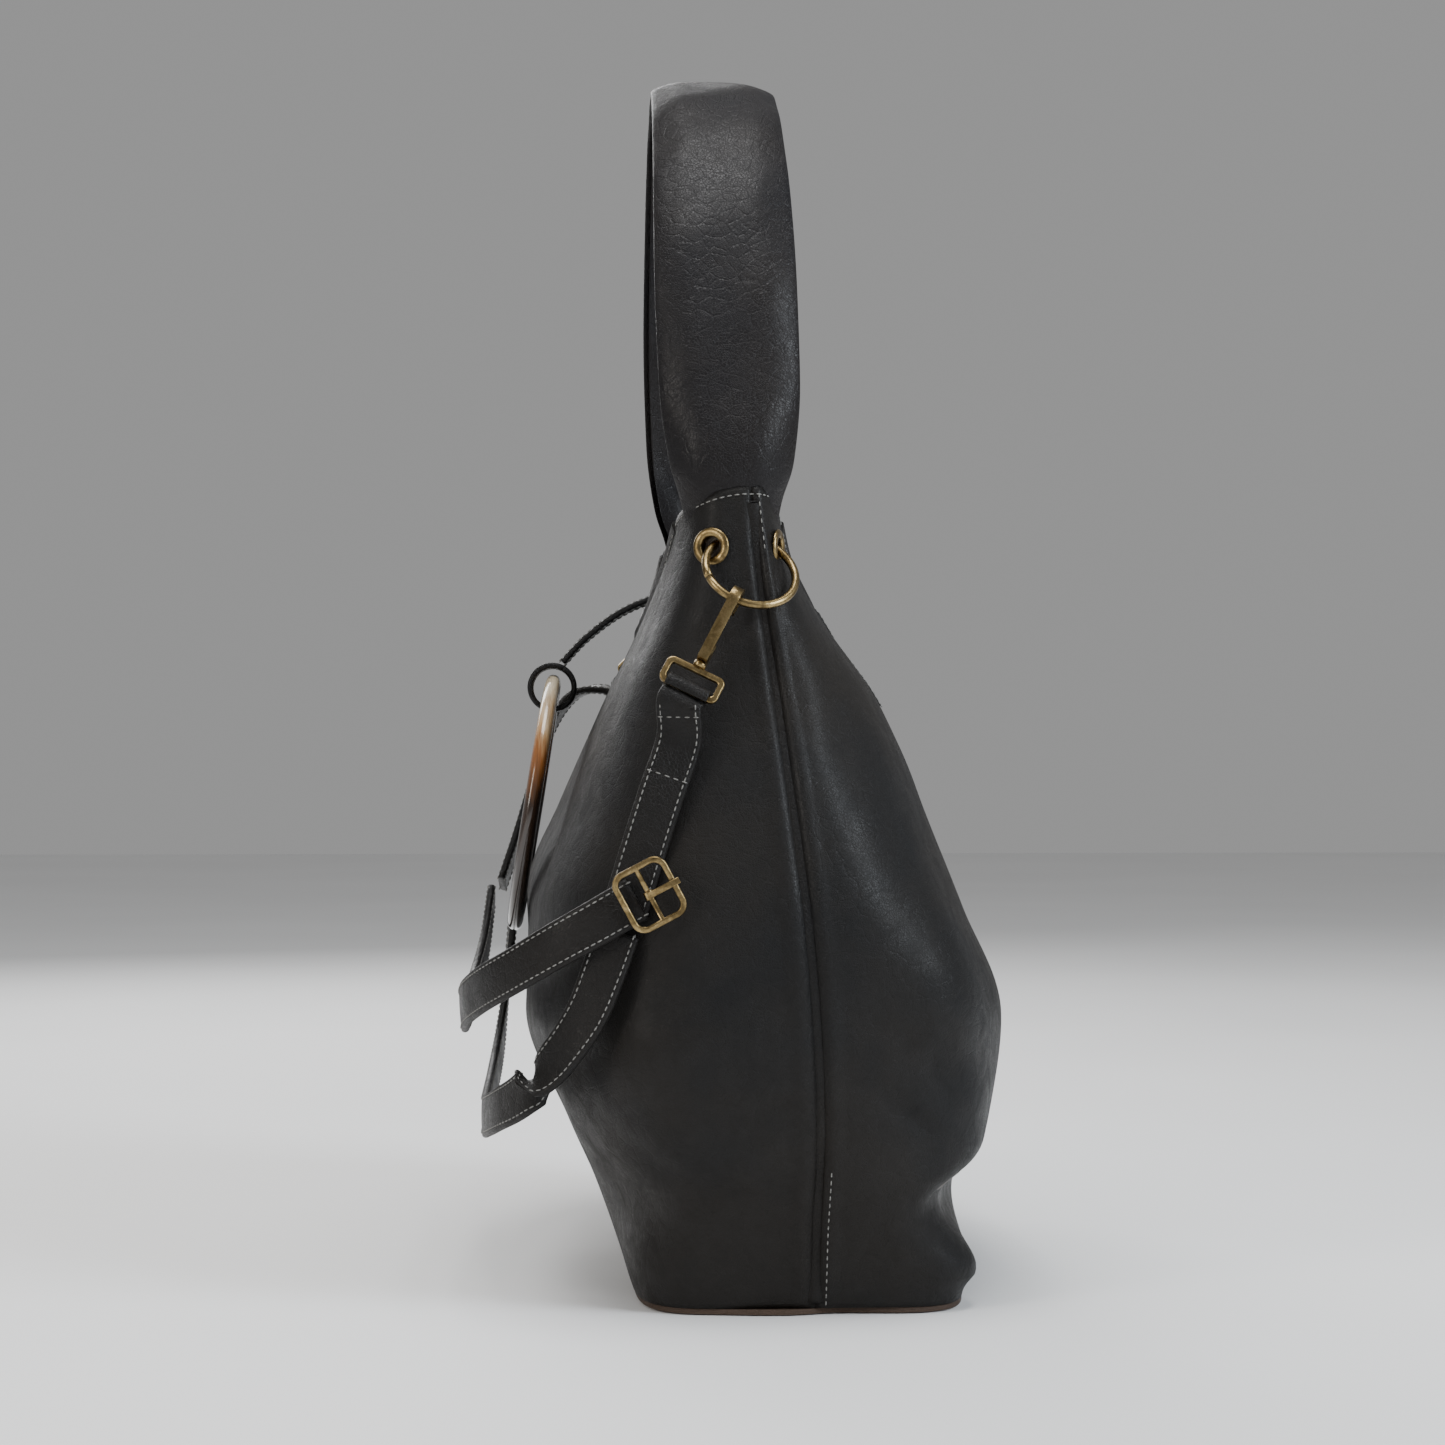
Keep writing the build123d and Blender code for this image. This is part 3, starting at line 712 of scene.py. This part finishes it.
# %% Lining and base
def lining_piece():
    front = panel_points(True, -3.2, 60, 97, 4.2, False)
    back = panel_points(False, -3.2, 60, 97, 4.2, False)
    loop = np.concatenate([front, back[:, ::-1][:, 1:-1]], axis=1)
    loop[..., 2] = np.minimum(loop[..., 2], np.maximum(loop[..., 2] - 3.0, 4.2))
    rows, columns = loop.shape[:2]
    points = loop.reshape(-1, 3).tolist()
    faces = grid_faces(rows, columns, wrap=True)
    points.append(list(loop[0].mean(0)))
    faces += [(c, (c + 1) % columns, len(points) - 1) for c in range(columns)]
    piece = mesh_piece("lining", np.array(points) * MM, faces, lining_cloth)
    thickness = piece.modifiers.new("thickness", "SOLIDIFY")
    thickness.thickness = 0.7 * MM
    thickness.offset = 0.0
    baked(piece)
    place(piece, "bag", "lining_cloth", "lining")


lining_piece()
for node in ("base_panel", "base_board"):
    frame["nodes"][node].data.materials.clear()
    frame["nodes"][node].data.materials.append(base_leather)
print("base and board keep their own meshes")

# %% [markdown]
# ## Strips
# Straps, tabs and bindings are all strips: a rounded section carried along a smooth line, with a
# direction that says which way its width lies. The same lines later carry the stitches.

# %% Strip helper
def smooth_line(stations, per_span=10):
    """Stations of (place, across) as many close points on a smooth curve through them."""
    places = np.array([p for p, _ in stations], float)
    acrosses = np.array([a for _, a in stations], float)
    acrosses /= np.linalg.norm(acrosses, axis=1, keepdims=True)
    both = np.hstack([places, acrosses])
    padded = np.vstack([2 * both[0] - both[1], both, 2 * both[-1] - both[-2]])
    out = []
    for i in range(1, len(padded) - 2):
        a, b, c, d = padded[i - 1:i + 3]
        for t in np.arange(per_span) / per_span:
            out.append(0.5 * (2 * b + (c - a) * t + (2 * a - 5 * b + 4 * c - d) * t**2
                              + (3 * b - a - 3 * c + d) * t**3))
    out.append(both[-1])
    out = np.array(out)
    return out[:, :3], out[:, 3:]


def strip_frames(stations, per_span=10):
    middle, across = smooth_line(stations, per_span)
    along = np.gradient(middle, axis=0)
    along /= np.linalg.norm(along, axis=1, keepdims=True)
    across = across - along * (across * along).sum(1, keepdims=True)
    across /= np.linalg.norm(across, axis=1, keepdims=True)
    return middle, across, np.cross(along, across)


def strip(name, stations, wide, thick, material, crown=0.35, per_span=10, wave=0.0):
    """A soft flat strip, in millimetres, with rounded edges and a slightly raised middle."""
    middle, across, face = strip_frames(stations, per_span)
    corner = min(thick * 0.48, 1.3)
    section = []
    for side in (1, -1):
        for w in np.linspace(-1, 1, 9):
            shape = (1 - w**2) * crown
            section.append((side * w * (wide / 2 - corner), side * (thick / 2 + shape)))
        for turn in (60, 30, 0, -30, -60):
            section.append((side * (wide / 2 - corner + corner * math.cos(math.radians(turn))),
                            side * thick / 2 * math.sin(math.radians(turn))))
    count = len(section)
    points = []
    for i, (m, a, f) in enumerate(zip(middle, across, face)):
        ripple = wave * math.sin(i * 0.9) * math.sin(i * 0.23 + 1.0)
        for w, t in section:
            points.append(m + a * w + f * (t + ripple * (1 - abs(w) * 2 / wide)))
    faces = grid_faces(len(middle), count, wrap=True)
    faces += [tuple(range(count))[::-1], tuple(range(len(points) - count, len(points)))]
    return mesh_piece(name, np.array(points) * MM, faces, material)


def strip_rows(stations, wide, thick, inset, both_faces=True, per_span=10, crown=0.35):
    """The lines on which a strip's edge stitches lie, in metres."""
    middle, across, face = strip_frames(stations, per_span)
    rows = []
    for side in (-1, 1):
        w = wide / 2 - inset
        lift = thick / 2 + crown * (1 - (w / (wide / 2)) ** 2) + 0.08
        for up in ((-1, 1) if both_faces else (1,)):
            rows.append((middle + across * side * w + face * up * lift) * MM)
    return rows


# %% [markdown]
# ## Stitches
# Hundreds of equal stitches along a line are a job for Geometry Nodes. The tree turns edges into
# curves, lays points on them a stitch apart, and puts a small lozenge of thread on each one. It ends
# in Realize Instances and Set Material, and the result is then kept as a plain mesh.

# %% Stitch tree
def stitch_tree():
    tree = bpy.data.node_groups.new("stitch_rows", "GeometryNodeTree")
    sockets = {}
    tree.interface.new_socket("Geometry", in_out="INPUT", socket_type="NodeSocketGeometry")
    for name, value in (("Pitch", 0.0034), ("Length", 0.0024), ("Radius", 0.00036)):
        socket = tree.interface.new_socket(name, in_out="INPUT", socket_type="NodeSocketFloat")
        socket.default_value = value
        sockets[name] = socket.identifier
    tree.interface.new_socket("Geometry", in_out="OUTPUT", socket_type="NodeSocketGeometry")
    add = tree.nodes.new
    start, end = add("NodeGroupInput"), add("NodeGroupOutput")
    curve = add("GeometryNodeMeshToCurve")
    dots = add("GeometryNodeCurveToPoints")
    dots.mode = "LENGTH"
    lozenge = add("GeometryNodeMeshUVSphere")
    lozenge.inputs["Segments"].default_value = 8
    lozenge.inputs["Rings"].default_value = 5
    lozenge.inputs["Radius"].default_value = 1.0
    size = add("ShaderNodeCombineXYZ")
    half = add("ShaderNodeMath")
    half.operation = "MULTIPLY"
    half.inputs[1].default_value = 0.5
    lay = add("GeometryNodeInstanceOnPoints")
    real = add("GeometryNodeRealizeInstances")
    paint = add("GeometryNodeSetMaterial")
    paint.inputs["Material"].default_value = thread
    link = tree.links.new
    link(start.outputs["Geometry"], curve.inputs["Mesh"])
    link(curve.outputs["Curve"], dots.inputs["Curve"])
    link(start.outputs["Pitch"], dots.inputs["Length"])
    link(start.outputs["Length"], half.inputs[0])
    link(start.outputs["Radius"], size.inputs["X"])
    link(start.outputs["Radius"], size.inputs["Y"])
    link(half.outputs[0], size.inputs["Z"])
    link(dots.outputs["Points"], lay.inputs["Points"])
    link(dots.outputs["Rotation"], lay.inputs["Rotation"])
    link(lozenge.outputs["Mesh"], lay.inputs["Instance"])
    link(size.outputs["Vector"], lay.inputs["Scale"])
    link(lay.outputs["Instances"], real.inputs["Geometry"])
    link(real.outputs["Geometry"], paint.inputs["Geometry"])
    link(paint.outputs["Geometry"], end.inputs["Geometry"])
    return tree, sockets


STITCH_TREE, STITCH_SOCKETS = stitch_tree()


def stitches(name, rows, body, pitch=3.4, length=2.5, radius=0.36):
    """Thread along each row of points, as one plain mesh on one body."""
    mesh = bpy.data.meshes.new(name)
    points, edges = [], []
    for row in rows:
        first = len(points)
        points += [tuple(p) for p in row]
        edges += [(first + i, first + i + 1) for i in range(len(row) - 1)]
    mesh.from_pydata(points, edges, [])
    piece = bpy.data.objects.new(name, mesh)
    sewing = piece.modifiers.new("sewing", "NODES")
    sewing.node_group = STITCH_TREE
    sewing[STITCH_SOCKETS["Pitch"]] = pitch * MM
    sewing[STITCH_SOCKETS["Length"]] = length * MM
    sewing[STITCH_SOCKETS["Radius"]] = radius * MM
    bpy.context.scene.collection.objects.link(piece)
    baked(piece)
    piece.data.polygons.foreach_set("use_smooth", [True] * len(piece.data.polygons))
    return place(piece, body, "thread")


# %% [markdown]
# ## Side seams, mouth edge and their stitches
# At each end the panels roll in towards each other and leave a dark groove. A thin folded strip
# closes it from inside. The mouth's edge is bound by a strip folded over both layers.

# %% Side seams
def surface_line(front, columns, heights_from_top=None, heights=None, lift=0.25):
    """A line on a finished panel, in metres: at given columns, so far below its top or at heights."""
    grid = panel_points(front, lift)
    rows = grid.shape[0]
    line = []
    for number, column in enumerate(columns):
        col = int(round(column))
        track = grid[:, col]
        goal = track[-1, 2] - heights_from_top if heights is None else heights[number]
        row = np.interp(goal, track[:, 2], np.arange(rows))
        low = int(min(row, rows - 2))
        line.append(track[low] * (1 - (row - low)) + track[low + 1] * (row - low))
    return np.array(line) * MM


def side_seam(end):
    column = COLUMNS - 1 if end == "near" else 0
    grid = panel_points(True)[:, column]
    inward = -1 if end == "near" else 1
    stations = [((p[0] + inward * 0.4, p[1], p[2]), (0, 1, 0)) for p in list(grid[1:-4:9]) + [grid[-4]]]
    fold = strip(f"{end}_seam_fold", stations, 9.0, 3.4, body_leather, 0.9)
    place(fold, "bag", "body_leather", f"{end}_seam_piping")
    step = 2 if end == "near" else -2
    low = np.linspace(5, 66, 18)
    high = np.linspace(352, 376, 8)
    rows = [surface_line(False, [column - step] * len(low), heights=low, lift=0.1),
            surface_line(False, [column - step] * len(high), heights=high, lift=0.1)]
    stitches(f"{end}_seam_stitches", rows, "bag", 3.6, 2.3, 0.33)


for end in ("near", "far"):
    side_seam(end)


# %% [markdown]
# The mouth's edge is a strip folded over both layers. Its stitches, and those round the necks, are
# laid on lines taken from the panels' own grids, so that they follow every fold.

# %% Mouth edge and neck
def mouth_and_neck():
    """The binding over the mouth's edge, and the rows of thread below it and round the necks."""
    rows = []
    for front in (True, False):
        grid = panel_points(front)
        edge = grid[-1]
        middle = [c for c in range(COLUMNS) if abs(edge[c, 0]) < MOUTH_HALF - 6]
        picked = middle[::6] + [middle[-1]]
        inward = 1.0 if front else -1.0
        name = "front_mouth_edge" if front else "back_mouth_edge"
        stations = [((edge[c, 0], edge[c, 1] + inward * 1.6, edge[c, 2] - 3.4), (0, 0, 1)) for c in picked]
        binding = strip(name, stations, 11.0, 5.2, body_leather, 0.2, 6)
        place(binding, "bag", "body_leather", *(["mouth_binding"] if front else []))
        lines = np.array([((edge[c, 0]), edge[c, 1] - inward * 1.35, edge[c, 2] - 6.4) for c in middle]) * MM
        rows.append(lines)
        for ends in (range(0, middle[0] - 1), range(middle[-1] + 2, COLUMNS)):
            rows.append(surface_line(front, list(ends), heights_from_top=3.4, lift=0.15))
    stitches("neck_and_mouth_stitches", rows, "bag", 3.5, 2.5, 0.36)


mouth_and_neck()

# %% [markdown]
# ## Handle
# The handle is one wide band of soft leather, folded at both edges. Where it is sewn into the necks
# it curls round with them, and just above it swells. Higher up it has a long shallow trough with a
# ridge on each side, and it flattens over the top.

# %% Handle
HANDLE_Y = np.array([
    # height, front edge y, back edge y, curl of the edges
    (362.0, -52.0, -9.0, 13.0), (376.0, -55.0, -6.5, 13.0), (392.0, -60.0, -1.5, 10.0),
    (430.0, -65.0, 1.5, 6.0), (500.0, -67.0, 0.5, 4.0), (575.0, -66.5, -3.0, 4.0), (606.0, -66.0, -4.0, 4.0),
])
HANDLE_OUT = 151.0
HANDLE_TOP = 600.0
NECK = 374.0


def handle_layer(name, sink, thick, narrow, material, nodes):
    """One layer of the handle, so far inside the outer face."""
    runs = 150
    around = 30
    turn = np.linspace(-0.055 * math.pi, 1.055 * math.pi, runs)
    points = []
    noise = np.random.default_rng(3)
    phases = noise.uniform(0, 6.28, 6)
    for t in turn:
        z = NECK + (HANDLE_TOP - NECK) * math.sin(t)
        z = max(z, NECK - 12.0)
        x = HANDLE_OUT * math.cos(t) if 0 <= t <= math.pi else math.copysign(HANDLE_OUT, math.cos(t))
        out = Vector((math.cos(t) / HANDLE_OUT, 0, math.sin(t) / (HANDLE_TOP - NECK))).normalized()
        if not 0 <= t <= math.pi:
            out = Vector((math.copysign(1, math.cos(t)), 0, 0))
        front, back, curl = smooth_rows(HANDLE_Y, np.array([z]))[0]
        front, back = front + narrow, back - narrow
        tucked = np.clip((NECK + 7 - z) / 9.0, 0, 1)
        swell = 3.2 * math.exp(-(((z - 398) / 20) ** 2))
        level = (z - NECK) / (HANDLE_TOP - NECK)
        for i in range(around):
            angle = 2 * math.pi * i / around
            across = math.copysign(abs(math.cos(angle)) ** 0.55, math.cos(angle))
            through = math.copysign(abs(math.sin(angle)) ** 0.7, math.sin(angle))
            y = (front + back) / 2 + (back - front) / 2 * across
            ridges = 1.5 * math.exp(-(((across + 0.45) / 0.2) ** 2))
            ridges += 1.7 * math.exp(-(((across - 0.42) / 0.24) ** 2))
            trough = -1.6 * math.exp(-((across / 0.25) ** 2))
            drift = 0.7 * math.sin(9 * t + phases[0] + 2 * across) * math.sin(3.1 * across + phases[1])
            drift += 0.45 * math.sin(23 * t + phases[2] - 3 * across)
            strength = 0.35 + 0.65 * math.sin(min(max(level, 0), 1) * math.pi * 0.9)
            shape = (ridges + trough) * strength + drift
            depth = shape + swell * (1 - across**2) - curl * abs(across) ** 3.5 - sink - tucked * 3.6
            depth += (through - 1) * thick / 2
            spot = Vector((x, y, z)) + out * depth
            points.append(spot * MM)
    faces = grid_faces(runs, around, wrap=True)
    faces += [tuple(range(around))[::-1], tuple(range(len(points) - around, len(points)))]
    piece = mesh_piece(name, points, faces, material)
    smooth = piece.modifiers.new("smooth", "SUBSURF")
    smooth.levels = smooth.render_levels = 1
    baked(piece)
    place(piece, "bag", "handle_leather", *nodes)


handle_layer("handle", 0.4, 4.2, 0.0, handle_leather, ["handle_band"])
handle_layer("handle_inner", 4.9, 1.8, 3.0, handle_leather, ["handle_lining"])

# %% [markdown]
# ## Eyelets
# An eyelet is pressed from thin brass: a rolled flange outside, a tube through the hole, and a flat
# washer inside. Its outline is drawn once and spun.

# %% Eyelets
def spun(name, profile, count, material, turn_by, middle):
    """A closed profile of (radius, height) spun about a line through a point."""
    points = []
    for i in range(count):
        angle = 2 * math.pi * i / count
        for r, h in profile:
            points.append((r * math.cos(angle) * MM, r * math.sin(angle) * MM, h * MM))
    rings = len(profile)
    faces = []
    for i in range(count):
        for k in range(rings):
            faces.append((i * rings + k, i * rings + (k + 1) % rings,
                          ((i + 1) % count) * rings + (k + 1) % rings, ((i + 1) % count) * rings + k))
    piece = mesh_piece(name, points, faces, material)
    piece.data.transform(turned_to(turn_by, middle))
    return piece


def eyelet(node, middle, normal):
    profile = []
    for turn in range(0, 181, 20):
        angle = math.radians(turn)
        profile.append((6.9 + 2.1 * math.cos(angle), 1.5 + 1.25 * math.sin(angle)))
    tube = [(4.75, 0.6), (4.7, -2.6), (5.2, -3.1)]
    washer = [(8.6, -3.1), (8.8, -2.6), (5.6, -2.4), (5.4, 1.0), (8.9, 1.0)]
    profile += tube + washer
    piece = spun(node + "_pressed", profile, 56, brass, normal, middle)
    place(piece, "bag", "antique_brass", node)


for node, (middle, normal) in zip(EYELET_NODES, EYELETS):
    eyelet(node, middle, normal)

# %% [markdown]
# ## Rings, hooks and buckle
# The metal parts have their true shape already, so they are kept. A copy of each is welded, and the
# hooks, gate pins, gates and prong have their sharp edges rounded with a Bevel, because cast and tumbled
# brass has no sharp edge.

# %% Rounded metal
def rounded_metal(node, body, bevel):
    source = frame["nodes"][node]
    mesh = source.data.copy()
    mesh.materials.clear()
    mesh.materials.append(brass)
    piece = bpy.data.objects.new(node + "_cast", mesh)
    bpy.context.scene.collection.objects.link(piece)
    work = bmesh.new()
    work.from_mesh(mesh)
    bmesh.ops.remove_doubles(work, verts=work.verts, dist=0.00001)
    bmesh.ops.dissolve_limit(work, angle_limit=math.radians(3), verts=work.verts, edges=work.edges)
    bmesh.ops.triangulate(work, faces=[f for f in work.faces if len(f.verts) > 4])
    work.to_mesh(mesh)
    work.free()
    mesh.polygons.foreach_set("use_smooth", [True] * len(mesh.polygons))
    if bevel:
        edge = piece.modifiers.new("edge", "BEVEL")
        edge.width = bevel * MM
        edge.segments = 2
        edge.limit_method = "ANGLE"
        edge.angle_limit = math.radians(42)
        edge.harden_normals = True
        baked(piece)
    place(piece, body, "antique_brass", node)


for end in ("near", "far"):
    rounded_metal(f"{end}_ring", f"{end}_ring", 0)
    rounded_metal(f"{end}_hook_body", f"{end}_hook", 0.35)
    rounded_metal(f"{end}_gate_pin", f"{end}_hook", 0.12)
    rounded_metal(f"{end}_gate", f"{end}_gate", 0.25)
    rounded_metal(f"{end}_strap_loop", f"{end}_loop", 0)
rounded_metal("buckle_frame", "bag", 0)
rounded_metal("buckle_prong", "prong", 0.2)

# %% [markdown]
# ## The long strap
# The strap is two layers of leather sewn together. It hangs in long curves, so it is a strip carried
# along a few stations. Each end folds round the bar of its loop, and the loop's bar is found in the
# frame, so that the fold sits on the metal exactly.

# %% Strap runs
STRAP_WIDE, STRAP_THICK = 21.0, 3.6
EDGE_INSET = 2.3
LOOP_BAR = 3.0
STRAP_LEAVES = {"near": (0.31, -0.45, -0.84), "far": (-0.34, -0.68, -0.65)}
NEAR_END = [
    ((183.0, -57, 262), (0.10, 0.93, -0.34)), ((186.5, -65, 238), (0.10, 0.95, -0.28)),
    ((188.0, -73, 213), (0.12, 0.95, -0.28)), ((188.5, -82, 184), (0.14, 0.94, -0.28)),
]
LONG_RUN = [
    ((188.5, -85, 176), (0.15, 0.94, -0.28)), ((188.0, -91, 158), (0.30, 0.90, -0.28)),
    ((185.0, -99, 138), (0.45, 0.82, -0.25)), ((178.0, -112, 118), (0.62, 0.72, 0.15)),
    ((164.0, -127, 101), (0.50, 0.35, 0.70)), ((140.0, -139, 91), (0.15, 0.12, 0.97)),
    ((105.0, -145, 84), (0.05, 0.05, 1)), ((60.0, -148, 78), (0, 0, 1)), ((10.0, -149, 76), (0, 0, 1)),
    ((-40.0, -148, 82), (0, 0, 1)), ((-80.0, -145, 100), (0.35, 0, 0.93)),
    ((-106.0, -142, 130), (0.75, 0.1, 0.65)), ((-119.0, -139, 165), (0.95, 0.1, 0.28)),
]
BUCKLE_RUN = [
    ((193.9, -76, 191), (0.10, 0.42, -0.90)), ((193.1, -93, 181), (0.16, 0.47, -0.86)),
    ((188.0, -112, 170), (0.30, 0.42, -0.86)), ((174.0, -131, 158), (0.36, 0.30, -0.88)),
    ((152.0, -146, 148), (0.20, 0.18, -0.96)), ((120.0, -155, 139), (0.08, 0.1, -1)),
    ((75.0, -158, 131), (0, 0.05, -1)), ((25.0, -158.5, 128), (0, 0, -1)),
    ((-25.0, -157, 134), (-0.2, 0, -0.97)), ((-66.0, -153, 152), (-0.6, 0, -0.8)),
    ((-92.0, -150, 178), (-0.88, 0, -0.45)),
]
FAR_END = [
    ((-178, -76, 290), (-0.98, 0.1, 0.1)), ((-174, -92, 293), (-0.98, -0.05, 0.1)),
    ((-168, -108, 287), (-0.97, 0.05, -0.2)), ((-160, -119, 270), (-0.96, 0.05, -0.25)),
    ((-148, -127, 243), (-0.95, 0.05, -0.28)), ((-135, -136, 212), (-0.94, 0.05, -0.30)),
    ((-123, -145, 184), (-0.93, 0.05, -0.32)),
]


def strap_run(name, stations, body, node, extra_rows=()):
    run = strip(name, stations, STRAP_WIDE, STRAP_THICK, strap_leather)
    place(run, body, "strap_leather", node)
    rows = strip_rows(stations, STRAP_WIDE, STRAP_THICK, EDGE_INSET)
    stitches(name + "_stitches", rows + list(extra_rows), body)
    middle, _, _ = strip_frames(stations)
    return float(np.linalg.norm(np.diff(middle, axis=0), axis=1).sum())


def loop_bar(end):
    """The middle of a loop's lower bar, the way the strap leaves it and the way its width lies."""
    long_way = Vector(STRAP_LEAVES[end]).normalized()
    corners = np.array([v.co for v in frame["nodes"][f"{end}_strap_loop"].data.vertices]) / MM
    reach = corners @ np.array(long_way)
    bar = corners[reach > reach.max() - LOOP_BAR - 0.05]
    widest = Vector(np.linalg.svd(bar - bar.mean(0), full_matrices=False)[2][0])
    across = widest if widest.y > 0 else -widest
    across = (across - long_way * across.dot(long_way)).normalized()
    middle = long_way * (reach.max() - LOOP_BAR / 2)
    for way in (across, across.cross(long_way)):
        spread = bar @ np.array(way)
        middle += way * float((spread.min() + spread.max()) / 2)
    print(end, "loop bar at", [round(v, 2) for v in middle], "across", [round(v, 3) for v in across])
    return middle, long_way, across


def strap_end(end, stations):
    """A strap's end with its fold round the loop's bar."""
    bar, long_way, across = loop_bar(end)
    rod, skin = 2.45, 1.75
    first = [(tuple(bar + long_way * (rod + 0.6)), tuple(across)),
             (tuple(bar + long_way * (rod + 6.0)), tuple(across))]
    stations = first + stations
    run = strip(end + "_strap", stations, STRAP_WIDE, STRAP_THICK, strap_leather)
    out = across.cross(long_way).normalized()
    fold = []
    for angle in range(-128, 129, 8):
        turn = math.radians(angle)
        way = -long_way * math.cos(turn) + out * math.sin(turn)
        fold.append((tuple(bar + way * (rod + skin / 2)), tuple(across)))
    wrap = strip(end + "_fold", fold, STRAP_WIDE, skin, strap_leather, 0.0, 2)
    whole = joined(end + "_strap_end", [run, wrap])
    place(whole, f"{end}_strap", "strap_leather", f"{end}_strap_end")
    rows = strip_rows(stations[1:], STRAP_WIDE, STRAP_THICK, EDGE_INSET)
    middle, sideways, face = strip_frames(stations[1:])
    for place_at in (3, 17):
        for up in (-1, 1):
            ends = np.linspace(-0.40, 0.40, 9)[:, None] * STRAP_WIDE
            rows.append((middle[place_at] + sideways[place_at] * ends
                         + face[place_at] * up * (STRAP_THICK / 2 + 0.36)) * MM)
    stitches(end + "_end_stitches", rows, f"{end}_strap")
    return float(np.linalg.norm(np.diff(middle, axis=0), axis=1).sum())


strap_length = strap_run("long_run_strap", LONG_RUN, "bag", "long_run")
strap_length += strap_run("buckle_run_strap", BUCKLE_RUN, "bag", "buckle_run")
strap_length += strap_end("near", NEAR_END) + strap_end("far", FAR_END)
print("strap length in mm", round(strap_length))

# %% [markdown]
# ## Closure tab and horn ring
# A sewn tab on the back panel holds a flap of leather, which reaches over the mouth and grips the
# horn ring. The ring is an oval section spun once, with a slight waver, because horn isn't perfect.

# %% Closure tab
TAB_WIDE, TAB_THICK = 26.0, 3.0
HORN_TOP = Vector((0.0, -116.0, 290.0))
GRIP_INNER, GRIP_OUTER = 9.8, 12.6
SIDE = (1, 0, 0)


def back_y(z):
    return float(smooth_rows(LEVELS, np.array([z]))[0][3])


def closure():
    stand = TAB_THICK / 2 + 1.5
    sewn = [((0, back_y(z) + stand, z), SIDE) for z in (280, 290, 300, 309)]
    base = strip("tab_base_leather", sewn, TAB_WIDE, TAB_THICK, strap_leather)
    place(base, "bag", "strap_leather", "tab_base")
    stitches("tab_base_stitches", strip_rows(sewn, TAB_WIDE, TAB_THICK, EDGE_INSET), "bag")
    reach = [(back_y(312) + stand, 312), (23.0, 321), (16.5, 330), (3.0, 338.5), (-15.0, 342),
             (-38.0, 341), (-60.0, 337), (-80.0, 329), (-98.0, 316), (-110.5, 303.0)]
    route = [((0, y, z), SIDE) for y, z in reach]
    flap = strip("closure_flap", route, TAB_WIDE, TAB_THICK, strap_leather)
    middle = (GRIP_INNER + GRIP_OUTER) / 2
    grip = []
    for angle in range(0, 361, 12):
        turn = math.radians(angle + 60)
        grip.append(((0, HORN_TOP.y + middle * math.cos(turn), HORN_TOP.z + middle * math.sin(turn)), SIDE))
    wrap = strip("closure_grip", grip, TAB_WIDE, GRIP_OUTER - GRIP_INNER, strap_leather, 0.0, 2)
    place(joined("closure_tab_leather", [flap, wrap]), "tab", "strap_leather", "closure_tab")
    stitches("closure_tab_stitches", strip_rows(route, TAB_WIDE, TAB_THICK, EDGE_INSET), "tab")


closure()

# %% [markdown]
# The ring is spun from one oval section. Bmesh or a Torus could make it too, but a formula lets the
# thickness waver a little, as a ring sawn from real horn does.

# %% Horn ring
def horn_ring():
    """An oval section spun round the ring's middle, wavering a little in thickness."""
    radius, half, thin = 59.5, 7.0, 4.2
    lean = math.radians(9.0)
    centre = HORN_TOP + Vector((0, -math.sin(lean), -math.cos(lean))) * radius
    axis = Vector((0, math.cos(lean), -math.sin(lean)))
    up = Vector((0, math.sin(lean), math.cos(lean)))
    around, section = 180, 28
    points = []
    for i in range(around):
        turn = 2 * math.pi * i / around
        out = Vector((1, 0, 0)) * math.sin(turn) + up * math.cos(turn)
        waver = 1 - 0.03 * (0.5 + 0.5 * math.sin(2 * turn + 0.7)) - 0.02 * (0.5 + 0.5 * math.sin(5 * turn))
        for k in range(section):
            angle = 2 * math.pi * k / section
            r = math.copysign(abs(math.cos(angle)) ** 0.8, math.cos(angle)) * half * waver
            t = math.copysign(abs(math.sin(angle)) ** 0.8, math.sin(angle)) * thin * waver
            points.append((centre + out * (radius + r) + axis * t) * MM)
    faces = [(i * section + k, i * section + (k + 1) % section,
              ((i + 1) % around) * section + (k + 1) % section, ((i + 1) % around) * section + k)
             for i in range(around) for k in range(section)]
    place(mesh_piece("horn_ring_polished", points, faces, horn_finish), "horn", "horn", "horn_ring")


horn_ring()
